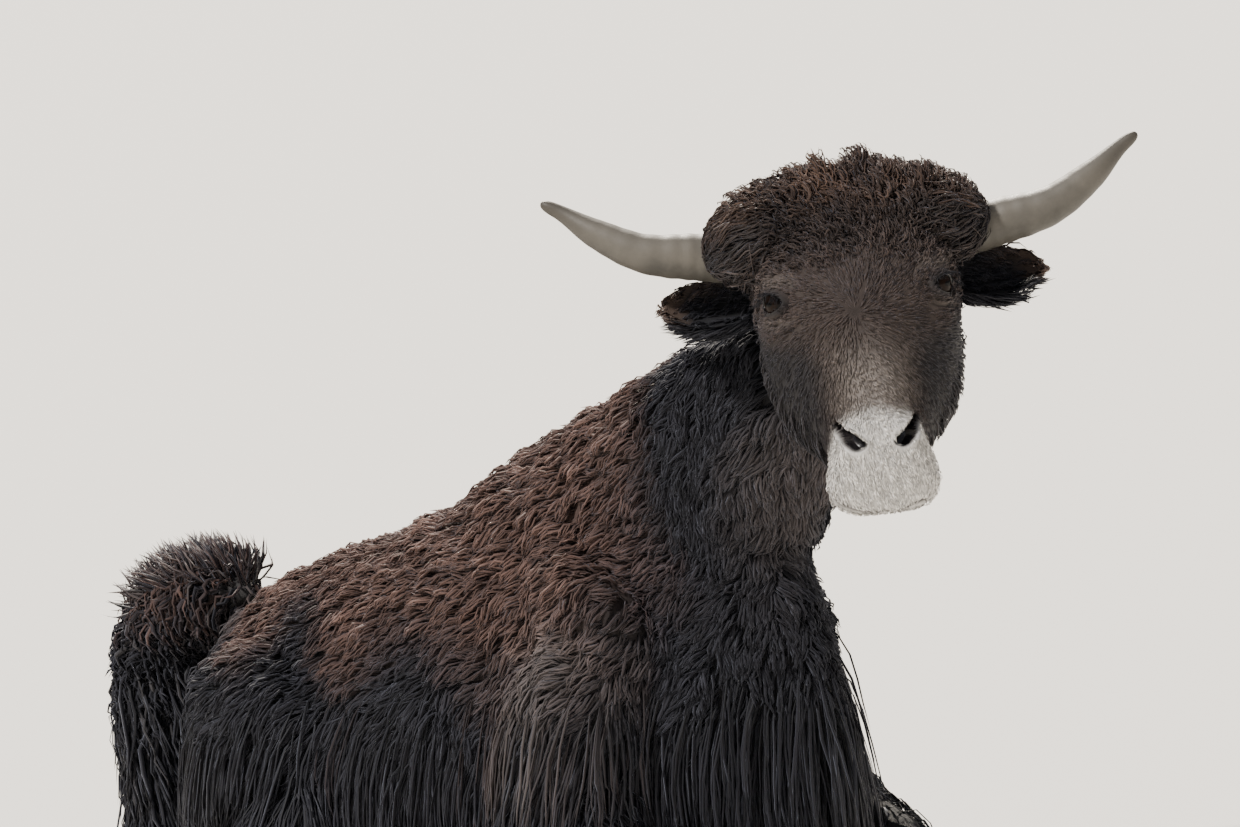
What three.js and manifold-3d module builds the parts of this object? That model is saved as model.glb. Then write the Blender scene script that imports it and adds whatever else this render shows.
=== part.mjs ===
// A young yak at life size, lying on its breastbone with its head turned to its right.
// Millimetres. +X is the way the body faces, +Y its left side, +Z up, and the floor is z = 0.
import * as THREE from "three";
import { mergeVertices } from "three/addons/utils/BufferGeometryUtils.js";
import Module from "manifold-3d";

const wasm = await Module();
wasm.setup();

// Driving dimensions
const TRUNK_BACK = -540;
const TRUNK_FRONT = 402;
const GAP = 0.4;
const COAT_GAP = 0.9;
const EYE_RADIUS = 17;
const EYE_LINE = new THREE.Vector3(572, -69, 672);
const HEAD_HEADING = THREE.MathUtils.degToRad(46);
const FACE_SLOPE = THREE.MathUtils.degToRad(47);
const HEAD_LEAN = THREE.MathUtils.degToRad(2.4);
const CROWN = 166;
const NOSE_END = -238;

// Colours
const WOOL_BROWN = 0x3a2b26;
const WOOL_BLACK = 0x1d1a1b;
const FACE_BROWN = 0x40342f;
const HORN_GREY = 0x9a9484;
const EYE_BLACK = 0x0a0807;
const HOOF_GREY = 0x35302c;

const clamp = THREE.MathUtils.clamp;

// A smooth line through [x, value] pairs: cubic pieces whose slope at a point is that of its two neighbours.
function lineThrough(points) {
  const slopes = points.map((_, i) => {
    const before = points[Math.max(i - 1, 0)];
    const after = points[Math.min(i + 1, points.length - 1)];
    return (after[1] - before[1]) / (after[0] - before[0]);
  });
  return (x) => {
    let i = 0;
    while (i < points.length - 2 && x > points[i + 1][0]) i += 1;
    const width = points[i + 1][0] - points[i][0];
    const t = clamp((x - points[i][0]) / width, 0, 1);
    const start = points[i][1] * (1 + 2 * t) * (1 - t) ** 2 + slopes[i] * width * t * (1 - t) ** 2;
    const end = points[i + 1][1] * t * t * (3 - 2 * t) - slopes[i + 1] * width * t * t * (1 - t);
    return start + end;
  };
}

// A closed surface: rings of points along a body, each end drawn together to one point.
function closedSkin(pointAt, around, along) {
  const points = [pointAt(0, 0)];
  for (let k = 1; k < along; k += 1) {
    for (let j = 0; j < around; j += 1) points.push(pointAt(k / along, j / around));
  }
  points.push(pointAt(1, 0));
  const last = points.length - 1;
  const faces = [];
  for (let j = 0; j < around; j += 1) {
    const next = (j + 1) % around;
    faces.push([0, 1 + next, 1 + j]);
    for (let k = 0; k < along - 2; k += 1) {
      const near = 1 + k * around;
      const far = near + around;
      faces.push([near + j, near + next, far + next], [near + j, far + next, far + j]);
    }
    const ring = 1 + (along - 2) * around;
    faces.push([last, ring + j, ring + next]);
  }
  const volume = faces.reduce((sum, [a, b, c]) => {
    return sum + points[a].dot(new THREE.Vector3().crossVectors(points[b], points[c]));
  }, 0);
  if (volume < 0) faces.forEach((face) => face.reverse());
  return new THREE.BufferGeometry().setFromPoints(points).setIndex(faces.flat());
}

function solidOf(geometry) {
  const bare = geometry.clone();
  bare.deleteAttribute("normal");
  bare.deleteAttribute("uv");
  const merged = mergeVertices(bare, 1e-3);
  return new wasm.Manifold(
    new wasm.Mesh({
      numProp: 3,
      vertProperties: new Float32Array(merged.attributes.position.array),
      triVerts: new Uint32Array(merged.index.array),
    }),
  );
}

function geometryOf(solid) {
  const mesh = solid.getMesh();
  const positions = new Float32Array(mesh.numVert * 3);
  for (let i = 0; i < mesh.numVert; i += 1) {
    positions.set(mesh.vertProperties.subarray(i * mesh.numProp, i * mesh.numProp + 3), i * 3);
  }
  return new THREE.BufferGeometry()
    .setAttribute("position", new THREE.BufferAttribute(positions, 3))
    .setIndex(new THREE.BufferAttribute(mesh.triVerts, 1));
}

// How full a body is along its length, 0 at both ends: the higher the power, the blunter the ends.
const fullness = (t, power) => Math.sqrt(Math.max(0, 1 - Math.abs(2 * t - 1) ** power));
// Rings come closer together near the ends.
const crowd = (t) => 0.35 * t + 0.325 * (1 - Math.cos(Math.PI * t));
const bulge = (value, power) => Math.sign(value) * Math.abs(value) ** power;

// A limb, neck, horn or tail: oval rings along a line through its stations,
// [x, y, z, half width, half depth]. When it grows, its rings slide towards the ends: all of them
// if spread is 1, only the tips if it is a high odd number.
function limb(stations, { around = 10, along = 10, blunt = 6, side = null, spread = 1 } = {}) {
  const marks = [0];
  for (let i = 1; i < stations.length; i += 1) {
    const step = Math.hypot(...[0, 1, 2].map((k) => stations[i][k] - stations[i - 1][k]));
    marks.push(marks[i - 1] + step);
  }
  const lineOf = (k) => lineThrough(stations.map((each, i) => [marks[i] / marks.at(-1), each[k]]));
  const lines = [0, 1, 2, 3, 4].map(lineOf);
  const centre = (t) => new THREE.Vector3(lines[0](t), lines[1](t), lines[2](t));
  return (grow = 0) =>
    closedSkin(
      (v, u) => {
        const t = crowd(v);
        const ahead = centre(Math.min(t + 0.01, 1)).sub(centre(Math.max(t - 0.01, 0))).normalize();
        const across = new THREE.Vector3();
        if (side) across.copy(side).addScaledVector(ahead, -side.dot(ahead)).normalize();
        else across.crossVectors(ahead, new THREE.Vector3(0, 0, 1)).normalize();
        const deep = new THREE.Vector3().crossVectors(across, ahead);
        const full = fullness(t, blunt);
        const angle = 2 * Math.PI * u;
        return centre(t)
          .addScaledVector(across, (lines[3](t) * full + grow) * Math.cos(angle))
          .addScaledVector(deep, (lines[4](t) * full + grow) * Math.sin(angle))
          .addScaledVector(ahead, -grow * Math.cos(Math.PI * v) ** spread);
      },
      around,
      along,
    );
}

const ellipsoid = (centre, radii, around = 12, along = 8) => (grow = 0) =>
  closedSkin(
    (v, u) => {
      const tilt = Math.PI * v;
      const turn = 2 * Math.PI * u;
      return new THREE.Vector3(
        centre.x + (radii[0] + grow) * Math.sin(tilt) * Math.cos(turn),
        centre.y + (radii[1] + grow) * Math.sin(tilt) * Math.sin(turn),
        centre.z + (radii[2] + grow) * Math.cos(tilt),
      );
    },
    around,
    along,
  );

// The trunk: its back line, its widest height, its half width and how narrow it is at the top, along x.
const backLine = lineThrough([
  [-540, 360], [-474, 420], [-416, 431], [-333, 444], [-235, 459], [-153, 477], [-89, 494], [-18, 529],
  [48, 554], [113, 577], [178, 601], [240, 612], [300, 590], [350, 530], [402, 400],
]);
const widestHeight = lineThrough([[-540, 240], [-300, 190], [0, 200], [220, 235], [402, 250]]);
const halfWidth = lineThrough([
  [-540, 112], [-460, 156], [-350, 188], [-200, 210], [-60, 216], [60, 202], [180, 172], [300, 134],
  [402, 80],
]);
const topNarrowing = lineThrough([[-540, 0.1], [-350, 0.14], [-150, 0.2], [40, 0.4], [220, 0.5], [402, 0.3]]);
const bellyLine = lineThrough([[-540, 110], [-420, 20], [-320, -10], [230, -10], [330, 40], [402, 130]]);
const spineBend = (x) => -22 * ((x - 60) / 560) ** 2;

const trunk = (grow = 0) =>
  closedSkin(
    (v, u) => {
      const t = crowd(v);
      const x = TRUNK_BACK + (TRUNK_FRONT - TRUNK_BACK) * t;
      const full = fullness(t, 6);
      const rise = Math.sin(2 * Math.PI * u);
      const reach = Math.cos(2 * Math.PI * u);
      const middle = widestHeight(x);
      const narrow = 1 - topNarrowing(x) * Math.max(0, rise) ** 2;
      const height = rise > 0 ? backLine(x) - middle : middle - bellyLine(x);
      const width = halfWidth(x) * bulge(reach, rise > 0 ? 0.9 : 0.72) * narrow;
      return new THREE.Vector3(
        x - grow * Math.cos(Math.PI * v),
        spineBend(x) + width * full + grow * reach,
        middle + height * full * bulge(rise, rise > 0 ? 0.95 : 0.8) + grow * rise,
      );
    },
    30,
    20,
  );

// Head space: a to the animal's left, u up the face from nose to crown, n out of the face.
const headAxes = (() => {
  const forward = new THREE.Vector3(Math.sin(HEAD_HEADING), -Math.cos(HEAD_HEADING), 0);
  const left = new THREE.Vector3(Math.cos(HEAD_HEADING), Math.sin(HEAD_HEADING), 0);
  const up = new THREE.Vector3(0, 0, 1).applyAxisAngle(forward, -HEAD_LEAN);
  left.applyAxisAngle(forward, -HEAD_LEAN);
  const turned = (rise, ahead) => up.clone().multiplyScalar(rise).addScaledVector(forward, ahead);
  const faceUp = turned(Math.cos(FACE_SLOPE), -Math.sin(FACE_SLOPE));
  const faceOut = turned(Math.sin(FACE_SLOPE), Math.cos(FACE_SLOPE));
  return new THREE.Matrix4().makeBasis(left, faceUp, faceOut).setPosition(EYE_LINE);
})();
const onHead = (a, u, n) => new THREE.Vector3(a, u, n).applyMatrix4(headAxes);
const headLeft = new THREE.Vector3().setFromMatrixColumn(headAxes, 0);

const faceLine = lineThrough([
  [-238, -30], [-215, -10], [-185, 0], [-145, 4], [-100, 7], [-50, 12], [0, 20], [50, 27], [100, 24],
  [140, 4], [166, -30],
]);
const jawLine = lineThrough([
  [-238, -84], [-215, -98], [-175, -108], [-130, -124], [-80, -148], [-30, -172], [20, -178],
  [80, -165], [130, -140], [166, -110],
]);
const headWidth = lineThrough([
  [-238, 44], [-213, 58], [-185, 59], [-150, 55], [-115, 62], [-70, 80], [-30, 95], [5, 103],
  [40, 100], [90, 98], [130, 88], [166, 60],
]);
const bridge = lineThrough([
  [-238, 0.12], [-190, 0.16], [-145, 0.34], [-90, 0.42], [-40, 0.3], [0, 0.06], [60, 0.06], [166, 0.16],
]);
const widestDepth = lineThrough([
  [-238, -52], [-190, -46], [-140, -62], [-60, -76], [0, -52], [80, -55], [166, -62],
]);

// Swellings and hollows of the head: [a, u, n, spread, height], the same on both sides.
const HEAD_FORMS = [
  [82, 27, 6, 20, 9],
  [92, 4, -4, 15, -6],
  [96, -26, -26, 18, 5],
  [62, -64, -20, 26, -6],
  [78, -70, -100, 34, 6],
  [36, -192, -6, 17, 8],
  [44, -220, -52, 18, 5],
  [0, 112, 20, 46, 8],
];
function headPoint(u, turn, grow = 0) {
  const t = clamp((u - NOSE_END) / (CROWN - NOSE_END), 0, 1);
  const full = fullness(t, 9);
  const rise = Math.sin(turn);
  const reach = Math.cos(turn);
  const middle = widestDepth(u);
  const narrow = 1 - bridge(u) * Math.max(0, rise) ** 1.2;
  const height = rise > 0 ? faceLine(u) - middle : middle - jawLine(u);
  const place = new THREE.Vector3(
    headWidth(u) * full * bulge(reach, 0.62) * narrow,
    u,
    middle + height * full * bulge(rise, 0.8),
  );
  const out = new THREE.Vector3(place.x, 0, place.z - middle).normalize();
  HEAD_FORMS.forEach(([a, b, c, spread, high]) => {
    [-1, 1].forEach((way) => {
      const far = (place.x - way * a) ** 2 + (place.y - b) ** 2 + (place.z - c) ** 2;
      place.addScaledVector(out, (a === 0 ? 0.5 : 1) * high * Math.exp(-far / (2 * spread * spread)));
    });
  });
  return place.addScaledVector(out, grow);
}
const skull = (grow = 0) =>
  closedSkin(
    (v, w) => {
      const u = NOSE_END + (CROWN - NOSE_END) * crowd(v);
      const atEnd = v === 0 || v === 1;
      const place = atEnd ? new THREE.Vector3(0, u, widestDepth(u)) : headPoint(u, 2 * Math.PI * w, grow);
      place.y -= grow * Math.cos(Math.PI * v);
      return place.applyMatrix4(headAxes);
    },
    28,
    24,
  );

const headStations = (stations, way) =>
  stations.map(([a, u, n, wide, deep]) => [...onHead(way * a, u, n).toArray(), wide, deep]);

// The mouth is a groove round the muzzle, 7 deep: a thin plate less the head drawn in.
const MOUTH = { depth: -68, back: -140, thick: 2.2, groove: 7 };
const mouthPlate = () => {
  const plate = new THREE.BoxGeometry(180, 120, 2 * MOUTH.thick);
  plate.translate(0, MOUTH.back - 60, MOUTH.depth);
  return plate.applyMatrix4(headAxes);
};
const NOSTRIL_STATIONS = [[24, -219, -22, 6, 6], [33, -207, -7, 10, 9], [42, -198, 4, 6, 5]];
const nostril = (way) => limb(headStations(NOSTRIL_STATIONS, way), { around: 8, along: 5, blunt: 4 });

// Each eye sits in its socket with its lids, which are bent rolls above and below.
const EYE_AT = { a: 77, u: 5, n: -9 };
const eyeball = (way) => {
  const radii = [EYE_RADIUS, EYE_RADIUS, EYE_RADIUS];
  return ellipsoid(onHead(way * EYE_AT.a, EYE_AT.u, EYE_AT.n), radii, 12, 7);
};
const LID = { spread: 1.1, open: 0.6, upper: 6.5, lower: 5 };
const EYE_LOOKS = new THREE.Vector3(0.8, -0.39, 0.43).normalize();
const EYE_UP = new THREE.Vector3(0, 0.68, 0.73).addScaledVector(EYE_LOOKS, -0.05).normalize();
const EYE_ACROSS = new THREE.Vector3().crossVectors(EYE_LOOKS, EYE_UP).normalize();
const lid = (way, over) => {
  const roll = over > 0 ? LID.upper : LID.lower;
  const stations = [-1, -0.5, 0, 0.5, 1].map((k) => {
    const [turn, tilt] = [k * LID.spread, over * LID.open * Math.cos((k * Math.PI) / 2)];
    const spot = new THREE.Vector3(EYE_AT.a, EYE_AT.u, EYE_AT.n)
      .addScaledVector(EYE_LOOKS, EYE_RADIUS * Math.cos(tilt) * Math.cos(turn))
      .addScaledVector(EYE_ACROSS, EYE_RADIUS * Math.cos(tilt) * Math.sin(turn))
      .addScaledVector(EYE_UP, EYE_RADIUS * Math.sin(tilt));
    return [spot.x, spot.y, spot.z, roll, roll];
  });
  return limb(headStations(stations, way), { around: 6, along: 6, side: headLeft });
};

const HORN_STATIONS = [
  [70, 106, -56, 25, 25], [150, 111, -41, 24, 24], [206, 117, -32, 20, 20], [251, 140, -20, 15, 15],
  [286, 166, -8, 8.5, 8.5], [304, 175, -2, 6, 6],
];
const horn = (way) => limb(headStations(HORN_STATIONS, way), { around: 10, along: 13, blunt: 14 });

// An ear is a leaf-shaped cup: its outer form less an inner one that is set forward.
const EAR_STATIONS = [
  [84, 70, -74, 18, 16], [114, 80, -80, 30, 19], [146, 85, -82, 35, 17], [176, 86, -82, 27, 12],
  [198, 84, -80, 10, 6],
];
const earSide = onHead(0, 1, 0).sub(onHead(0, 0, 0)).normalize();
const ear = (way) => limb(headStations(EAR_STATIONS, way), { around: 10, along: 8, blunt: 5, side: earSide });
const EAR_CUP = { forward: 0.75, wide: 0.72, deep: 0.8 };
const earHollow = (way) => {
  const stations = EAR_STATIONS.slice(1).map(([a, u, n, wide, deep]) => {
    return [a - 2, u - 2, n + deep * EAR_CUP.forward, wide * EAR_CUP.wide, deep * EAR_CUP.deep];
  });
  return limb(headStations(stations, way), { around: 8, along: 6, blunt: 4, side: earSide });
};

// Legs, as lying, each in parts from the trunk to the foot. The animal's left legs are tucked in further.
const SIDES = { right: { way: -1, tuck: 0 }, left: { way: 1, tuck: 22 } };
const FORE_LEG = [
  [[80, 66, 450, 30, 50], [130, 106, 390, 58, 78], [190, 132, 325, 62, 88], [230, 130, 250, 50, 66]],
  [[240, 136, 310, 54, 62], [165, 160, 270, 60, 74], [92, 176, 210, 48, 58]],
  [[66, 184, 206, 36, 40], [150, 188, 150, 46, 50], [250, 178, 98, 36, 36], [352, 160, 62, 33, 33]],
  [[366, 158, 48, 31, 29], [306, 154, 27, 24, 21], [222, 150, 18, 21, 19], [150, 146, 19, 23, 21]],
];
const HIND_LEG = [
  [[-450, 80, 310, 56, 64], [-380, 116, 284, 84, 102], [-280, 152, 250, 86, 106], [-160, 190, 190, 52, 66]],
  [[-166, 198, 186, 50, 58], [-260, 222, 138, 54, 60], [-360, 236, 88, 38, 42], [-440, 240, 56, 30, 32]],
  [[-454, 240, 54, 24, 30], [-404, 248, 34, 25, 25], [-324, 256, 19, 21, 20], [-250, 262, 19, 23, 21]],
];
const legForms = (parts, { way, tuck }) =>
  parts.map((stations, i) => {
    const placed = stations.map(([x, y, z, wide, deep]) => [x, way * (y - tuck), z, wide, deep]);
    return limb(placed, { around: i === 0 ? 12 : 9, along: 8, blunt: 5 });
  });

// Each cloven hoof is two claws, one on each side of its cleft.
const HOOF = { halfWidth: 17, halfDepth: 19, spread: 19.5 };
const FORE_HOOF = { rear: 162, front: 62, cleft: 145 };
const HIND_HOOF = { rear: -262, front: -162, cleft: 263 };
const claw = ({ way, tuck }, { rear, front, cleft }, which) => {
  const y = way * (cleft - tuck + which * HOOF.spread);
  const lean = way * which * 4;
  return limb(
    [
      [rear, y - lean, 21, HOOF.halfWidth * 0.92, HOOF.halfDepth * 0.9],
      [(rear + front) / 2, y, 17, HOOF.halfWidth, HOOF.halfDepth],
      [front, y - 2 * lean, 8, HOOF.halfWidth * 0.45, HOOF.halfDepth * 0.5],
    ],
    { around: 6, along: 5, blunt: 8 },
  );
};

const NECK_STATIONS = [
  [120, 0, 400, 90, 130], [220, 0, 462, 106, 146], [310, 8, 520, 98, 124], [400, 20, 580, 84, 100],
  [490, 12, 640, 66, 78],
];
const neckForm = limb(NECK_STATIONS, { around: 20, along: 11, blunt: 8 });

const TAIL_STATIONS = [
  [-450, -14, 384, 36, 30], [-506, -18, 394, 44, 34], [-562, -22, 380, 50, 44], [-596, -26, 320, 50, 46],
  [-602, -34, 232, 46, 42], [-600, -50, 142, 40, 36], [-594, -76, 66, 32, 28], [-584, -116, 18, 24, 20],
];
const TAIL_SIDE = new THREE.Vector3(0.25, 1, 0).normalize();
const tailForm = limb(TAIL_STATIONS, { around: 8, along: 11, blunt: 9, side: TAIL_SIDE });

// The cut between neck and trunk leans from in front of the withers down to the breast.
const NECK_CUT = { top: new THREE.Vector3(250, 0, 640), lean: THREE.MathUtils.degToRad(25) };
const aheadOfCut = (shift) => {
  const block = new THREE.BoxGeometry(1200, 1200, 1600).translate(600 + shift, 0, 0);
  block.rotateY(-NECK_CUT.lean);
  return solidOf(block.translate(NECK_CUT.top.x, 0, NECK_CUT.top.z));
};

// A lock: a flat, tapered tuft along a line of points, with its width lying along side.
const LOCK_SHAPE = [0.6, 1, 0.92, 0.6, 0.1];
const lock = (line, width, thick, side) =>
  limb(line.map((p, i) => [p.x, p.y, p.z, (LOCK_SHAPE[i] * width) / 2, (LOCK_SHAPE[i] * thick) / 2]), {
    around: 4,
    along: 5,
    blunt: 12,
    side,
    spread: 25,
  });

// Seeded draws, so that the coat is the same each time.
let seed = 11;
const draw = (low, high) => {
  seed = (seed * 16807) % 2147483647;
  return low + ((high - low) * seed) / 2147483647;
};

// How far the solids reach from a point along a level direction, and the node that is met there.
const caster = new THREE.Raycaster();
const FAR = 900;
const outermost = (meshes, at, out) => {
  caster.set(at.clone().addScaledVector(out, FAR), out.clone().negate());
  const hit = caster.intersectObjects(meshes, false)[0];
  return hit ? { reach: FAR - hit.distance, name: hit.object.name } : null;
};

// A hanging lock starts under the surface, falls as hair does, lies over what is below it and stops
// at the floor. One that would have to stand too far out is left off.
const ROOT_SINK = 15;
const TIP_HEIGHT = 6;
const HANG_STEPS = [0, 0.22, 0.48, 0.75, 1];
const MOST_OVERHANG = 62;
const DEEPEST_ROOT = -60;
function hangingLock(meshes, { at, out, length, width, thick, slant = 0, flare = 0 }) {
  const start = outermost(meshes, at, out);
  if (!start || start.reach < DEEPEST_ROOT) return null;
  const fall = Math.min(length, at.z - TIP_HEIGHT);
  let reach = start.reach - ROOT_SINK;
  let overhang = 0;
  const line = HANG_STEPS.map((step, i) => {
    const spot = at.clone().add(new THREE.Vector3(slant * step * fall, 0, -fall * step));
    if (i > 0) {
      const below = outermost(meshes, spot, out);
      const bare = below ? below.reach + 0.5 * thick : -Infinity;
      overhang = Math.max(overhang, bare - reach);
      const carried = i === 1 ? start.reach + 0.4 * thick : reach - 0.2 * fall * (step - HANG_STEPS[i - 1]);
      reach = Math.max(bare, carried);
    }
    return spot.addScaledVector(out, reach + flare * step * step);
  });
  if (overhang > MOST_OVERHANG) return null;
  return { name: start.name, piece: lock(line, width, thick, new THREE.Vector3(-out.y, out.x, 0)) };
}

// Bands of locks along both flanks: the low ones end at the floor and the high ones lie over their roots.
const FLANK_BANDS = [
  { height: 178, from: -476, to: 330, count: 10, length: 190, width: 92 },
  { height: 292, from: -450, to: 300, count: 9, length: 180, width: 88 },
];
// Bands round the front and the rear, swept about an upright axis.
const ROUND_BANDS = [
  { x: 250, y: -6, ahead: 0, spread: 1.0, height: 215, count: 5, length: 215, width: 74 },
  { x: 230, y: -6, ahead: 0, spread: 1.15, height: 345, count: 6, length: 180, width: 76 },
  { x: 330, y: 14, ahead: 0, spread: 1.3, height: 470, count: 6, length: 150, width: 66 },
  { x: 372, y: 20, ahead: 0, spread: 1.7, height: 580, count: 6, length: 110, width: 60 },
  { x: -420, y: -14, ahead: Math.PI, spread: 1.0, height: 180, count: 4, length: 190, width: 76 },
  { x: -420, y: -14, ahead: Math.PI, spread: 1.05, height: 300, count: 4, length: 160, width: 74 },
];
const SHAGGY = /^(torso|neck|leg_)/;
function hangingLocks(meshes) {
  const locks = [];
  const hang = (band, at, out, more) =>
    locks.push(
      hangingLock(meshes, {
        at,
        out: out.normalize(),
        length: band.length * draw(0.85, 1.12),
        width: band.width * draw(0.85, 1.15),
        thick: draw(13, 18),
        ...more,
      }),
    );
  FLANK_BANDS.forEach((band) => {
    [-1, 1].forEach((way) => {
      for (let i = 0; i < band.count; i += 1) {
        const x = band.from + ((band.to - band.from) * (i + draw(0.3, 0.7))) / band.count;
        const at = new THREE.Vector3(x, 0, band.height + draw(-16, 16));
        const out = new THREE.Vector3(draw(-0.06, 0.04), way, 0);
        hang(band, at, out, { slant: draw(-0.3, -0.1), flare: draw(2, 12) });
      }
    });
  });
  ROUND_BANDS.forEach((band) => {
    for (let i = 0; i < band.count; i += 1) {
      const angle = band.ahead + band.spread * ((2 * (i + draw(0.4, 0.6))) / band.count - 1);
      const at = new THREE.Vector3(band.x, band.y, band.height + draw(-20, 20));
      hang(band, at, new THREE.Vector3(Math.cos(angle), Math.sin(angle), 0), { flare: draw(-4, 8) });
    }
  });
  return locks.filter((each) => each && SHAGGY.test(each.name));
}

// The crown's curly wool: a low dome, and rounded clumps set close over it from horn to horn.
const CROWN_WOOL = { u: 98, n: -14, half: 134, high: 44, deep: 56 };
const crownSpot = (out, share) =>
  new THREE.Vector3(
    CROWN_WOOL.half * share * out.x,
    CROWN_WOOL.u + CROWN_WOOL.high * share * out.y,
    CROWN_WOOL.n + CROWN_WOOL.deep * share * out.z,
  );
const crownDome = (grow = 0) =>
  closedSkin(
    (v, w) => {
      const [tilt, turn] = [Math.PI * v, 2 * Math.PI * w];
      const swing = Math.sin(tilt);
      const out = new THREE.Vector3(Math.cos(tilt), swing * Math.cos(turn), swing * Math.sin(turn));
      return crownSpot(out, 1).addScaledVector(out, grow).applyMatrix4(headAxes);
    },
    14,
    10,
  );
const CURL_ROWS = [
  { turn: 0.3, count: 5 }, { turn: 0.85, count: 6 }, { turn: 1.4, count: 7 }, { turn: 1.95, count: 6 },
];
const curl = (centre, out, radii) => (grow = 0) => {
  const across = new THREE.Vector3(0, 0, 1).cross(out).normalize();
  const up = new THREE.Vector3().crossVectors(out, across);
  return closedSkin(
    (v, w) => {
      const [tilt, turn] = [Math.PI * v, 2 * Math.PI * w];
      return centre
        .clone()
        .addScaledVector(out, (radii[0] + grow) * Math.cos(tilt))
        .addScaledVector(across, (radii[1] + grow) * Math.sin(tilt) * Math.cos(turn))
        .addScaledVector(up, (radii[2] + grow) * Math.sin(tilt) * Math.sin(turn))
        .applyMatrix4(headAxes);
    },
    7,
    4,
  );
};
function crownCurls() {
  const curls = [];
  CURL_ROWS.forEach(({ turn, count }, row) => {
    for (let i = 0; i < count; i += 1) {
      const side = (2 * (i + 0.5 + draw(-0.12, 0.12))) / count - 1;
      const flat = Math.sqrt(1 - (0.92 * side) ** 2);
      const swing = turn + draw(-0.1, 0.1) + 0.12 * (row % 2);
      const out = new THREE.Vector3(0.92 * side, flat * Math.sin(swing), flat * Math.cos(swing));
      curls.push(curl(crownSpot(out, 1), out, [draw(22, 30), draw(22, 28), draw(20, 26)]));
    }
  });
  return curls;
}

// The tail's locks: short curls that stand out at its root, and long ones that hang below.
const TAIL_RINGS = [
  { at: 1, count: 4, length: 70, out: 40 },
  { at: 2, count: 6, length: 110, out: 44 },
  { at: 3, count: 5, length: 130, out: 40 },
  { at: 4, count: 5, length: 130, out: 34 },
  { at: 5, count: 5, length: 110, out: 26 },
];
function tailLocks() {
  const locks = [];
  TAIL_RINGS.forEach(({ at, count, length, out: outward }, ring) => {
    const [x, y, z, wide, deep] = TAIL_STATIONS[at];
    for (let i = 0; i < count; i += 1) {
      const turn = 2 * Math.PI * ((i + 0.5 * (ring % 2) + draw(-0.15, 0.15)) / count);
      const out = new THREE.Vector3(Math.cos(turn), Math.sin(turn), at < 3 ? 0.5 : 0.1).normalize();
      const root = new THREE.Vector3(x, y, z).addScaledVector(out, 0.45 * Math.min(wide, deep));
      const fall = Math.min(length * draw(0.85, 1.1), root.z - TIP_HEIGHT);
      const line = HANG_STEPS.map((step) =>
        root
          .clone()
          .addScaledVector(out, (outward + 0.5 * Math.min(wide, deep)) * Math.sin(1.9 * step))
          .add(new THREE.Vector3(-6 * step, -0.16 * fall * step, -fall * step ** 1.3)),
      );
      line.forEach((spot) => spot.setZ(Math.max(spot.z, TIP_HEIGHT)));
      locks.push(lock(line, draw(44, 56), draw(15, 20), new THREE.Vector3(-out.y, out.x, 0).normalize()));
    }
  });
  return locks;
}

// Each node has a core and may have a coat. A core is cut clear of those named before it.
const joined = (pieces, grow) => wasm.Manifold.union(pieces.map((piece) => solidOf(piece(grow))));
const cores = [];
const coreFrom = (name, colour, roughness, make) => cores.push({ name, colour, roughness, make });
const core = (name, colour, roughness, pieces) =>
  coreFrom(name, colour, roughness, (grow) => joined(pieces, grow));

core("eye_right", EYE_BLACK, 0.08, [eyeball(-1)]);
core("eye_left", EYE_BLACK, 0.08, [eyeball(1)]);
const lids = [-1, 1].flatMap((way) => [lid(way, 1), lid(way, -1)]);
const mouthGroove = () => solidOf(mouthPlate()).subtract(solidOf(skull(-MOUTH.groove)));
coreFrom("head", FACE_BROWN, 0.9, (grow) => {
  const whole = joined([skull, crownDome, ...lids], grow);
  if (grow) return whole;
  return whole.subtract(joined([nostril(-1), nostril(1)], 0)).subtract(mouthGroove());
});
Object.entries(SIDES).forEach(([side, { way }]) => {
  core(`horn_${side}`, HORN_GREY, 0.55, [horn(way)]);
  coreFrom(`ear_${side}`, WOOL_BLACK, 0.9, (grow) => {
    const whole = joined([ear(way)], grow);
    return grow ? whole : whole.subtract(joined([earHollow(way)], 0));
  });
});
const trunkAndNeck = (grow) => joined([trunk, neckForm], grow);
coreFrom("neck", WOOL_BLACK, 0.9, (grow) => trunkAndNeck(grow).intersect(aheadOfCut(-grow)));
coreFrom("torso", WOOL_BROWN, 0.95, (grow) => trunkAndNeck(grow).subtract(aheadOfCut(grow)));
Object.entries(SIDES).forEach(([side, place]) => {
  core(`leg_fore_${side}`, WOOL_BLACK, 0.9, legForms(FORE_LEG, place));
  core(`leg_hind_${side}`, WOOL_BLACK, 0.9, legForms(HIND_LEG, place));
  Object.entries({ inner: -1, outer: 1 }).forEach(([which, turn]) => {
    core(`hoof_fore_${side}_${which}`, HOOF_GREY, 0.6, [claw(place, FORE_HOOF, turn)]);
    core(`hoof_hind_${side}_${which}`, HOOF_GREY, 0.6, [claw(place, HIND_HOOF, turn)]);
  });
});
core("tail", WOOL_BLACK, 0.9, [tailForm]);

const aboveFloor = solidOf(new THREE.BoxGeometry(4000, 4000, 2000).translate(0, 0, 1000));
const largest = (solid) => solid.decompose().sort((a, b) => b.volume() - a.volume())[0];
const meshOf = (name, solid, colour, roughness) => {
  const material = new THREE.MeshStandardMaterial({ color: colour, roughness, metalness: 0 });
  const mesh = new THREE.Mesh(geometryOf(solid), material);
  mesh.name = name;
  return mesh;
};

let takenByCores = null;
cores.forEach((part) => {
  const whole = part.make(0).intersect(aboveFloor);
  part.solid = largest(takenByCores ? whole.subtract(takenByCores) : whole);
  part.grown = part.make(GAP);
  takenByCores = takenByCores ? takenByCores.add(part.grown) : part.grown;
});

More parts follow.
